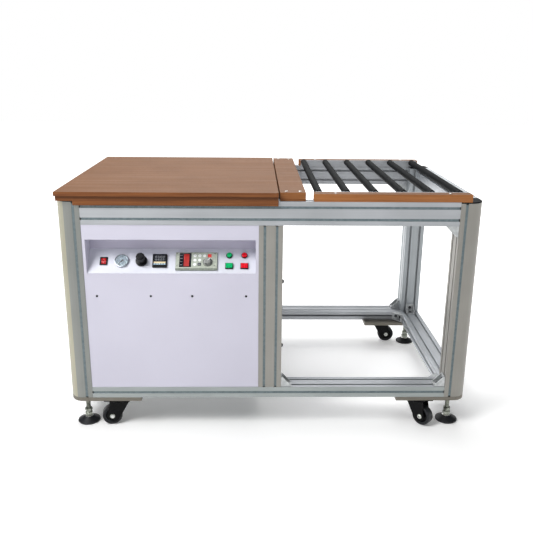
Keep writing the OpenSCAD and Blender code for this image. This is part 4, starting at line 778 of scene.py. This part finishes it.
def makeRocker():
    s = rockerSizes
    holder = Piece("rocker_holder", "frame", onSlope(*s["seat"]))
    opening = roundedOutline(*s["opening"], 0.8)
    holder.extruded(roundedOutline(*s["frame"], 1.8), 0, 3, "blackPlastic", 0.7, 3, hole=opening, over=50)
    holder.extruded(roundedOutline(19.5, 23.5, 0.8), -20, 0.2, "blackPlastic", hole=opening)
    holder.boxed((-9.7, -11.7, -22), (9.7, 11.7, -13.3), "blackPlastic", 0.3)
    holder.finish("black_plastic", "rocker_frame")
    tilted = onSlope(*s["seat"], -3) @ turn(s["tilt"], "X")
    rocker = Piece("lit_rocker", "power_rocker", tilted)
    # side view of the rocker: dished on top, narrow at its pivot
    outline = [(-10.2 + 20.4 * k / 12, 6 - 1.5 * math.sin(math.pi * k / 12)) for k in range(13)]
    outline += [(9.0, 0.5), (2.2, -2.8), (-2.2, -2.8), (-9.0, 0.5)]
    sideways = tilted @ Matrix(((0, 0, 1, 0), (1, 0, 0, 0), (0, 1, 0, 0), (0, 0, 0, 1)))
    rocker.extruded(outline, -s["half"], s["half"], "redLens", 0.5, 3, sideways, over=40)
    rocker.boxed((-0.3, -7.4, 5.35), (0.3, -5.0, 5.6), "dimDigit", 0.1)
    ring, inside = (circleOutline(radius, 24, 0, 6.4) for radius in (1.5, 1.1))
    rocker.extruded(ring, 5.35, 5.58, "dimDigit", hole=inside)
    rocker.finish("red_plastic", "power_rocker")


# scales: marks, radius, length and half width of each
gaugeSizes = {"seat": (111.5, 50), "scales": ((31, 15.8, 2.2, 0.22), (7, 14.4, 3.6, 0.35)), "firstAngle": 225,
    "sweep": -270, "dialTop": 2.25}


def makeGauge():
    s = gaugeSizes
    place = onSlope(*s["seat"])
    case = Piece("gauge_case", "frame", place)
    case.turned([(21, 2.2), (21, 5.2), (21.4, 6.4), (22.2, 7), (23, 6.9), (23.7, 6.2), (24, 5), (24, 0),
        (21.9, 0), (21.9, -30), (6, -30), (6, -12), (1.0, -12), (1.0, 2.2)], "chrome", 72)
    top = s["dialTop"]
    case.rod(21.2, 1.9, top, "dial", 72, inner=0.9)
    for count, radius, length, half in s["scales"]:
        case.repeated(lambda unit: unit.boxed((0, -half, 0), (length, half, 0.12), "inkAndShade"), count,
            place @ shift(0, 0, top), radius, s["firstAngle"], s["sweep"] / (count - 1))
    case.turned([(14.4, top), (14.4, 2.34), (14.15, 2.34), (14.15, top)], "inkAndShade", 72)
    case.rod(20.9, 5.15, 5.9, "lens", 72)
    case.turned([(7, -30.2), (7, -38), (5, -38), (5, -30.2)], "brass", 24)
    case.finish("gauge_case", "pressure_gauge")
    needle = Piece("gauge_pointer", "gauge_needle", place)
    pointer = [(-6.2, -2), (-5.2, -2.5), (0, -1.7), (14, -0.5), (14, 0.5), (0, 1.7), (-5.2, 2.5), (-6.2, 2)]
    needle.extruded(pointer, 2.45, 3.1, "inkAndShade", 0.12, place=place @ turn(s["firstAngle"], "Z"))
    needle.turned([(0, -7), (0.7, -7), (0.7, 2.5), (2.2, 2.5), (2.2, 3.4), (1.7, 3.8), (0, 3.8)], "inkAndShade", 24)
    needle.finish("black_plastic", "gauge_needle")


regulatorSizes = {"seat": (177, 50), "notches": 24, "notchRadius": 19.2, "ridges": 36, "ridgeRadius": 13.9,
    "ridgeFrom": 19.6, "ridgeTo": 35.2}


def makeRegulator():
    s = regulatorSizes
    place = onSlope(*s["seat"])
    body = Piece("regulator_bonnet", "frame", place)
    body.turned([(0, -46), (18, -46), (21, -43), (21, -18), (20, -15.5), (13, -15.5), (13, 0), (19, 0),
        (19.5, 0.6), (19.5, 6), (18.8, 7.6), (16.6, 8.7), (15.2, 9), (5.1, 9), (5.1, -11), (0, -11)],
        "gripPlastic", 64)
    body.repeated(lambda unit: unit.boxed((0, -0.9, 0), (0.7, 0.9, 5), "gripPlastic", 0.25), s["notches"],
        place @ shift(0, 0, 0.8), s["notchRadius"], 0, 360 / s["notches"])
    body.finish("black_plastic", "regulator_body")
    knob = Piece("regulator_grip", "regulator_knob", place)
    knob.turned([(0, 9.4), (13.4, 9.4), (13.8, 9.9), (13.8, 13), (12.6, 14), (12.6, 17), (13.7, 18),
        (13.9, 19), (13.9, 34), (13.4, 36.2), (11.8, 37.6), (9.6, 38), (8.8, 37.4), (0, 37.2)],
        "gripPlastic", 64)
    knob.rod(4.95, -11, 12, "groundSteel", 24)
    ridge = [(-0.3, -0.75), (0.55, -0.4), (0.55, 0.4), (-0.3, 0.75)]
    low, high, ridges = s["ridgeFrom"], s["ridgeTo"], s["ridges"]
    knob.repeated(lambda unit: unit.extruded(ridge, low, high, "gripPlastic", 0.2), ridges, place,
        s["ridgeRadius"], 0, 360 / ridges)
    knob.finish("black_plastic", "regulator_knob")


controllerSizes = {"seat": (238.5, 50), "face": 48, "depth": 70, "figures": 4, "figurePitch": 8.2,
    "figureRows": (13.4, 3.6), "figureWidth": 4.6, "figureHeight": 6.6,
    "keys": 4, "keyPitch": 8.4, "vents": 8, "ventPitch": 5}


def figureBars(piece, finish, place, w, h):
    # the seven bars of an unlit figure, as (x, y, width, height)
    t = w * 0.16
    flat = [(0, y, w * 0.62, t) for y in (h / 2, 0, -h / 2)]
    upright = [(x, y, t, h * 0.36) for x in (-w / 2, w / 2) for y in (-h / 4, h / 4)]
    for x, y, width, height in flat + upright:
        across, up = width / 2, height / 2
        piece.boxed((x - across, y - up, 0), (x + across, y + up, 0.08), finish, place=place)


def makeController():
    s = controllerSizes
    place = onSlope(*s["seat"])
    piece = Piece("controller_case", "frame", place)
    piece.extruded(roundedOutline(s["face"], s["face"], 1.6), 0, 8, "blackPlastic", 0.8, 3,
        hole=roundedOutline(41.5, 42, 1), over=50)
    piece.boxed((-21, -21.2, 0.5), (21, 21.2, 6.6), "blackPlastic")
    piece.boxed((-19.6, -3.5, 6.6), (19.6, 20.2, 7.0), "window", 0.15)
    for y in s["figureRows"]:
        for k in range(s["figures"]):
            seat = place @ shift((k - 1.5) * s["figurePitch"], y, 7.02)
            figureBars(piece, "dimDigit", seat, s["figureWidth"], s["figureHeight"])
    for low, high, finish in ((-10.6, -4.2, "tanStrip"), (-15.8, -10.8, "blueStrip")):
        piece.boxed((-19.6, low, 6.6), (19.6, high, 6.95), finish, 0.15)
    softKey = roundedOutline(5.2, 2.6, 1)
    piece.repeated(lambda unit: unit.extruded(softKey, 0, 0.5, "inkAndShade", 0.2), s["keys"],
        place @ shift(-12.6, -13.3, 6.95), step=(s["keyPitch"], 0, 0))
    piece.boxed((-22.7, -22.7, -s["depth"]), (22.7, 22.7, 0.5), "blackPlastic", 0.8)
    first = -s["ventPitch"] * (s["vents"] - 1) / 2
    piece.repeated(lambda unit: unit.boxed((-16, -0.6, -0.2), (16, 0.6, 0.2), "inkAndShade"), s["vents"],
        place @ shift(0, first, 0.3 - s["depth"]), step=(0, s["ventPitch"], 0))
    piece.finish("black_plastic", "temperature_controller")


# keyRows: x and y of the first key, and how many
keypadSizes = {"seat": (361.5, 48.5), "face": (138.4, 64.4), "display": (18, 46.5), "keyPitch": 15.8,
    "keyRows": ((-5.2, 19.5, 3), (-5.1, 3.1, 2), (-5.5, -13.2, 1)), "knob": (37.5, -4.5),
    "knobAngle": -45}
keyHead = [(0, 0), (5.4, 0), (5.5, 0.3), (5.1, 0.75), (4.2, 0.95), (0, 1.0)]
cornerHead = [(0, 0), (2.6, 0), (2.7, 0.3), (2.1, 0.9), (1.2, 1.0), (1.2, 0.4), (0, 0.4)]


def makeKeypad():
    s = keypadSizes
    place = onSlope(*s["seat"])
    piece = Piece("keypad_case", "frame", place)
    piece.extruded(roundedOutline(140, 66, 2.2), 0, 6.2, "keypadRim", 0.6)
    piece.extruded(roundedOutline(*s["face"], 2), 6.0, 6.9, "keypad", 0.35)
    piece.extruded(roundedOutline(s["face"][0], 4.6, 0.8), 6.88, 7.0, "keypadRim",
        place=place @ shift(0, -29.6))
    piece.boxed((-65.7, -28.7, -66), (65.7, 28.7, 0.2), "blackPlastic", 1.0)
    # outline, low and high, finish, edge and place of each flat part on the face
    for outline, low, high, finish, soft, x, y in (
            (roundedOutline(40, 53, 1.2), 6.85, 7.0, "window", 0, -37.5, 3.5),
            (roundedOutline(*s["display"], 0.6), 6.95, 7.1, "redDisplay", 0, -33.5, 3.3)):
        piece.extruded(outline, low, high, finish, soft, place=place @ shift(x, y))
    for x, y, count in s["keyRows"]:
        piece.repeated(lambda unit: unit.turned(keyHead, "key", 32), count, place @ shift(x, y, 6.9),
            step=(s["keyPitch"], 0, 0))
    for size, finish, x, y in (((12, 12), "redKey", 43.8, 19.4), ((12, 10.5), "darkKey", 9.7, -12.6)):
        piece.extruded(roundedOutline(*size, 0.8), 6.9, 7.7, finish, 0.3, place=place @ shift(x, y))
    piece.boxed((-3.2, -0.5, 0), (3.2, 0.5, 0.1), "key", place=place @ shift(9.7, -12.6, 7.7))
    for x in (-5.2, 11.4):
        piece.extruded([(-1.6, -1.1), (1.6, -1.1), (0, 1.5)], 7.88, 7.95, "inkAndShade", place=place @ shift(x, 19.5))
    seat = place @ shift(*s["knob"])
    # painted shadow: a black ring on the case round the knob's foot
    piece.rod(16.2, 6.9, 7.0, "inkAndShade", 56, seat, inner=14.6)
    piece.repeated(lambda unit: unit.boxed((0, 0, 0), (8, 1.5, 0.1), "dimDigit"), 4,
        place @ shift(-55.5, -15.5, 6.95), step=(0, 12, 0))
    for y in (28, -17.2):
        piece.repeated(lambda unit: unit.turned(cornerHead, "dullZinc", 20), 2, place @ shift(-65.5, y, 6.9),
            step=(126.5, 0, 0))
    piece.finish("keypad_green", "speed_keypad")
    knob = Piece("speed_dial_knob", "speed_knob", seat)
    knob.turned([(0, 7.4), (13.6, 7.4), (14, 7.9), (14, 9.6), (13.2, 10.6), (11.8, 11.2), (0, 11.2)],
        "silverKnob", 56)
    knob.turned([(0, 11), (10.6, 11), (10.2, 19.6), (9.4, 20.9), (8, 21.2), (0, 21.2)], "silverKnob", 40)
    grip = seat @ turn(s["knobAngle"], "Z")
    knob.extruded([(-3.1, -12.6), (3.1, -12.6), (2.5, 13.2), (-2.5, 13.2)], 10.8, 21.29, "silverKnob", 0.7,
        place=grip)
    knob.boxed((-0.7, 0.5, 21.2), (0.7, 12.9, 21.3), "white", place=grip)
    # painted shade: a black strip along one side of the grip
    knob.boxed((2.6, -12.2, 11), (3.3, 12.2, 18.5), "inkAndShade", 0.2, place=grip)
    knob.rod(2.95, -6.6, 8, "groundSteel", 20)
    knob.finish("silver_knob", "speed_knob")


# name: x and s on the slope, finish, slot
buttons = {"start_button": (471, 72, "greenCap", "green_plastic"),
    "stop_button": (522, 72, "redCap", "red_plastic"),
    "suction_on_button": (471, 32, "greenCap", "green_plastic"),
    "suction_off_button": (522, 32, "redCap", "red_plastic")}
buttonSizes = {"roundRows": 72, "opening": (23.1, 17.6), "cap": (22.5, 17), "depth": 34, "capTop": 9.3}


def makeRoundButton(bezels, cap, finish, deep, top):
    bezels.turned([(8.85, 1.0), (8.85, 4.6), (9.2, 5), (9.9, 5), (10.5, 4.4), (10.5, 0), (8, 0), (8, deep),
        (6, deep), (6, 1.0)], "blackPlastic", 48, cap.place)
    bezels.rod(7.9, deep, -9.2, "blackPlastic", 32, cap.place)
    cap.turned([(0, 4.3), (8.3, 4.3), (8.5, 4.6), (8.5, 8.0), (8.1, 8.9), (7.2, 9.25), (6.6, 9.0), (3, 9.1),
        (2.2, 9.28), (1.2, top), (0, top)], finish)
    cap.rod(5.7, -5.7, 5, "blackPlastic", 24)


def makeSquareButton(bezels, cap, finish, deep, top):
    s = buttonSizes
    bezels.extruded(roundedOutline(26.5, 21, 1.4), 0, 5, "blackPlastic", 0.4, 2, cap.place,
        roundedOutline(*s["opening"], 0.8), 50)
    bezels.boxed((-9.9, -7.2, deep), (9.9, 7.2, -9.2), "blackPlastic", 0.3, place=cap.place)
    bezels.extruded(roundedOutline(23.3, 17.8, 0.8), 0.1, 1.0, "blackPlastic", 0, 1, cap.place,
        roundedOutline(15.5, 10, 0.8))
    cap.extruded(roundedOutline(*s["cap"], 1.2), 4.3, 9.2, finish, 0.9, 3, over=50)
    cap.extruded(roundedOutline(17.5, 12, 1), 9.15, top, finish)
    cap.boxed((-7.4, -4.7, -5.7), (7.4, 4.7, 5), "blackPlastic")


def makeButtons():
    s = buttonSizes
    bezels = Piece("button_collars", "frame")
    for name, (x, up, finish, slotName) in buttons.items():
        isRound = up == s["roundRows"]
        cap = Piece(("round_" if isRound else "square_") + name, name, onSlope(x, up))
        (makeRoundButton if isRound else makeSquareButton)(bezels, cap, finish, -s["depth"], s["capTop"])
        cap.finish(slotName, name)
    bezels.finish("black_plastic", "button_bezels")


makeRocker()
makeGauge()
makeRegulator()
makeController()
makeKeypad()
makeButtons()
print("control panel made")

driveSizes = {"filmX": 59, "motorX": -109, "z": 775, "pulleyFrom": 334.2, "pulleyTo": 349.8,
    "rollerRadius": 26, "bigPulley": 30, "bigTeeth": 36, "smallPulley": 15, "smallTeeth": 18,
    "pulleyY": 348.5, "beltWidth": 12, "beltGap": 0.9, "beltThick": 2.4, "beltPitch": 5, "fins": 36}


def makePulley(piece, radius, teeth, steps):
    low, high = driveSizes["pulleyFrom"], driveSizes["pulleyTo"]
    inner = radius - 1.4
    piece.turned([(0, low), (radius, low), (radius, low + 1.6), (inner, low + 2), (inner, high - 2),
        (radius, high - 1.6), (radius, high), (0, high)], "cast", steps)
    tooth = [(-0.6, -1.3), (0.7, -0.9), (0.7, 0.9), (-0.6, 1.3)]
    piece.repeated(lambda unit: unit.extruded(tooth, low + 2, high - 2, "cast"), teeth, None, radius - 1.2, 0,
        360 / teeth)


def makeRollerAndPulleys():
    s = driveSizes
    filmAxis, motorAxis = (shift(s[x], machine["middle"], s["z"]) @ alongY for x in ("filmX", "motorX"))
    film = Piece("film_roller_turned", "film_roller", filmAxis)
    r = s["rollerRadius"]
    film.turned([(0, -379.9), (9, -379.9), (9.98, -379), (9.98, -353), (r - 1.2, -353), (r, -351.8),
        (r, 327.8), (r - 1.2, 329), (9.98, 329), (9.98, 379), (9, 379.9), (0, 379.9)], "groundSteel", 64)
    makePulley(film, s["bigPulley"], s["bigTeeth"], 64)
    film.finish("bright_steel", "film_roller")
    small = Piece("motor_pulley_turned", "motor_pulley", motorAxis)
    small.rod(7.45, 281, 333, "groundSteel", 32)
    makePulley(small, s["smallPulley"], s["smallTeeth"], 48)
    small.finish("bright_steel", "motor_pulley")


def makeMotor():
    s = driveSizes
    centre = shift(s["motorX"], machine["middle"], s["z"])
    motor = Piece("geared_motor_case", "frame", centre @ alongY)
    motor.boxed((-40, 236, -40), (40, 326, 40), "motorPaint", 3, 3, centre)
    motor.turned([(0, 118), (36, 118), (37, 119), (37, 236), (0, 236)], "motorPaint")
    motor.turned([(0, 116), (34, 116), (37.8, 120), (37.8, 132), (0, 132)], "blackPlastic")
    fins = s["fins"]
    motor.repeated(lambda unit: unit.boxed((-1, -0.7, 134), (1, 0.7, 234), "motorPaint", 0.3), fins, None,
        37, 0, 360 / fins)
    motor.turned([(8, 326), (22, 326), (22, 329), (20, 330), (8, 330)], "groundSteel", 40)
    motor.finish("motor_paint", "geared_motor")


def makeBelt():
    s = driveSizes
    span = s["filmX"] - s["motorX"]
    middle = shift(s["filmX"] - span / 2, s["pulleyY"], s["z"]) @ turn(90, "X")
    belt = Piece("toothed_belt", "frame", middle)
    big, little = s["bigPulley"] + s["beltGap"], s["smallPulley"] + s["beltGap"]
    lean = math.degrees(math.acos((big - little) / span))

    # radius, centre, first angle and sweep where the belt runs round each pulley
    rounds = ((big, span / 2, -lean, 2 * lean), (little, -span / 2, lean, 360 - 2 * lean))

    def path(grow):
        return [onCircle(radius + grow, first + sweep * k / steps, x)
                for (radius, x, first, sweep), steps in zip(rounds, (28, 20)) for k in range(steps + 1)]
    half = s["beltWidth"] / 2
    belt.extruded(path(s["beltThick"]), -half, half, "rubber", 0.3, hole=path(0), over=60)

    def tooth(unit):
        unit.extruded([(-0.8, -0.7), (0.1, -1.3), (0.1, 1.3), (-0.8, 0.7)], 0.3 - half, half - 0.3, "rubber")
    # round both pulleys, then along both straight runs
    for radius, x, first, sweep in rounds:
        teeth = int(math.radians(sweep) * radius / s["beltPitch"])
        belt.repeated(tooth, teeth, middle @ shift(x), radius, first + sweep / teeth / 2, sweep / teeth)
    for side in (-1, 1):
        start = Vector(onCircle(big, side * lean, span / 2))
        run = Vector(onCircle(little, side * lean, -span / 2)) - start
        teeth = int(run.length / s["beltPitch"])
        step = run / teeth
        belt.repeated(tooth, teeth, middle @ shift(span / 2 + step.x / 2, step.y / 2), big, side * lean,
            step=(step.x, step.y, 0))
    belt.finish("rubber_black", "drive_belt")


serviceSizes = {"valve": (-446, 160), "ports": 3, "portPitch": 26, "inletX": -500, "airX": -420,
    "rear": 416.5, "inletZ": 228}


def makeServices():
    s = serviceSizes
    place = shift(s["valve"][0], machine["middle"], s["valve"][1])
    valve = Piece("vacuum_valve_block", "frame", place)
    coil = place @ shift(-22.5)
    valve.boxed((-45, -23, 0), (45, 23, 52), "cast", 1.5, 3)
    valve.turned([(0, 51), (16, 51), (16, 88), (14.5, 90), (0, 90)], "blackPlastic", 40, coil)
    valve.rod(5, 90, 92, "brightZinc", 6, coil)
    valve.turned([(5, 51.9), (9, 51.9), (9, 55), (8, 56), (5, 56)], "brass", 6, place @ shift(22.5))
    port = [(4.5, 0), (8.5, 0), (8.5, 2.4), (7.5, 3.2), (4.5, 3.2)]
    valve.repeated(lambda unit: unit.turned(port, "brass", 24), s["ports"],
        place @ shift(-s["portPitch"], -23, 20) @ turn(90, "X"), step=(s["portPitch"], 0, 0))
    valve.finish("bright_steel", "vacuum_valve")

    inlets = Piece("mains_and_air_inlets", "frame", shift(s["inletX"], s["rear"], s["inletZ"]) @ alongY)
    opening = roundedOutline(25, 15, 2)
    inlets.extruded(roundedOutline(50, 30, 3), 0, 3, "blackPlastic", 0.6, hole=opening, over=50)
    inlets.boxed((-22.6, -12.6, -12), (22.6, 12.6, -8), "blackPlastic", 0.4)
    inlets.extruded(roundedOutline(27, 17, 2), -9, 0.2, "blackPlastic", hole=opening)
    for x, y in ((-6.5, 1.5), (0, -2.5), (6.5, 1.5)):
        inlets.boxed((x - 1, y - 2.2, -8.2), (x + 1, y + 2.2, 0.5), "brass", 0.3)
    air = shift(s["airX"], s["rear"], s["inletZ"]) @ alongY
    inlets.turned([(5, -14), (6.4, -14), (6.4, 0), (9, 0), (9, 5.2), (8.2, 6), (5, 6)], "brass", 6, air)
    inlets.turned([(5.2, 5.9), (7.4, 5.9), (7.2, 6), (5.2, 6)], "inkAndShade", 32, air)
    inlets.finish("black_plastic", "service_inlets")


makeRollerAndPulleys()
makeMotor()
makeBelt()
makeServices()
print("drive and services made")

# pale paper floor that glows far from the machine, a white wall all round, a dim ceiling
studio = {"floor": "#FBFBFA", "reach": 12, "glowCentre": (0, -2.0, 0), "glowFrom": 1.4, "glowTo": 6.0,
    "nearGlow": 0.05, "farGlow": 1.25, "wall": "#FFFFFF", "ceiling": "#55565A", "wallTop": 0.12,
    "ceilingFrom": 0.3}
# softboxes: place, aim, size in metres, watts
lamps = {"keySoftbox": ((-2.0, -2.0, 3.2), (-0.2, -0.3, 0.5), 1.6, 125),
    "fillSoftbox": ((2.8, -2.6, 1.8), (0.2, 0, 0.4), 2.0, 4),
    "floorSoftbox": ((0, 2.6, 2.7), (0, 2.0, 0), 3.0, 78),
    "topSoftbox": ((0.1, 0.3, 3.6), (0, 0, 0.5), 2.6, 62)}


def makeStudio():
    s = studio
    far = s["reach"]
    mesh = bpy.data.meshes.new("studioFloor")
    mesh.from_pydata([(-far, -far, 0), (far, -far, 0), (far, far, 0), (-far, far, 0)], [], [(0, 1, 2, 3)])
    floor = newObject("studioFloor", mesh)
    finish, tree, shader, place = newFinish("studioPaper", s["floor"], 0, 0.85,
        Emission_Color=linear(s["floor"]))
    away = addNode(tree, "ShaderNodeVectorMath", {0: place, 1: s["glowCentre"]}, operation="DISTANCE")
    cove = addNode(tree, "ShaderNodeMapRange",
        {"Value": away.outputs["Value"], "From Min": s["glowFrom"], "From Max": s["glowTo"],
         "To Min": s["nearGlow"], "To Max": s["farGlow"]})
    tree.links.new(cove.outputs[0], shader.inputs["Emission Strength"])
    mesh.materials.append(finish)
    world = bpy.data.worlds.new("studioAir")
    world.use_nodes = True
    tree, glow = world.node_tree, world.node_tree.nodes["Background"]
    around = addNode(tree, "ShaderNodeTexCoord").outputs["Generated"]
    heading = addNode(tree, "ShaderNodeSeparateXYZ", {0: around})
    ramp = addNode(tree, "ShaderNodeMapRange",
        {"Value": heading.outputs["Z"], "From Min": s["wallTop"], "From Max": s["ceilingFrom"]})
    sky = addNode(tree, "ShaderNodeMix",
        {mixBy: ramp, mixFrom: linear(s["wall"]), mixTo: linear(s["ceiling"])}, data_type="RGBA")
    tree.links.new(sky.outputs[mixed], glow.inputs["Color"])
    bpy.context.scene.world = world
    for name, (spot, aim, size, power) in lamps.items():
        light = bpy.data.lights.new(name, "AREA")
        light.size, light.energy = size, power
        lamp = newObject(name, light)
        lamp.location = spot
        lamp.rotation_euler = (Vector(aim) - Vector(spot)).to_track_quat("-Z", "Y").to_euler()
    bpy.context.scene.view_settings.view_transform = "Standard"
    bpy.context.scene.view_settings.look = "None"


makeStudio()
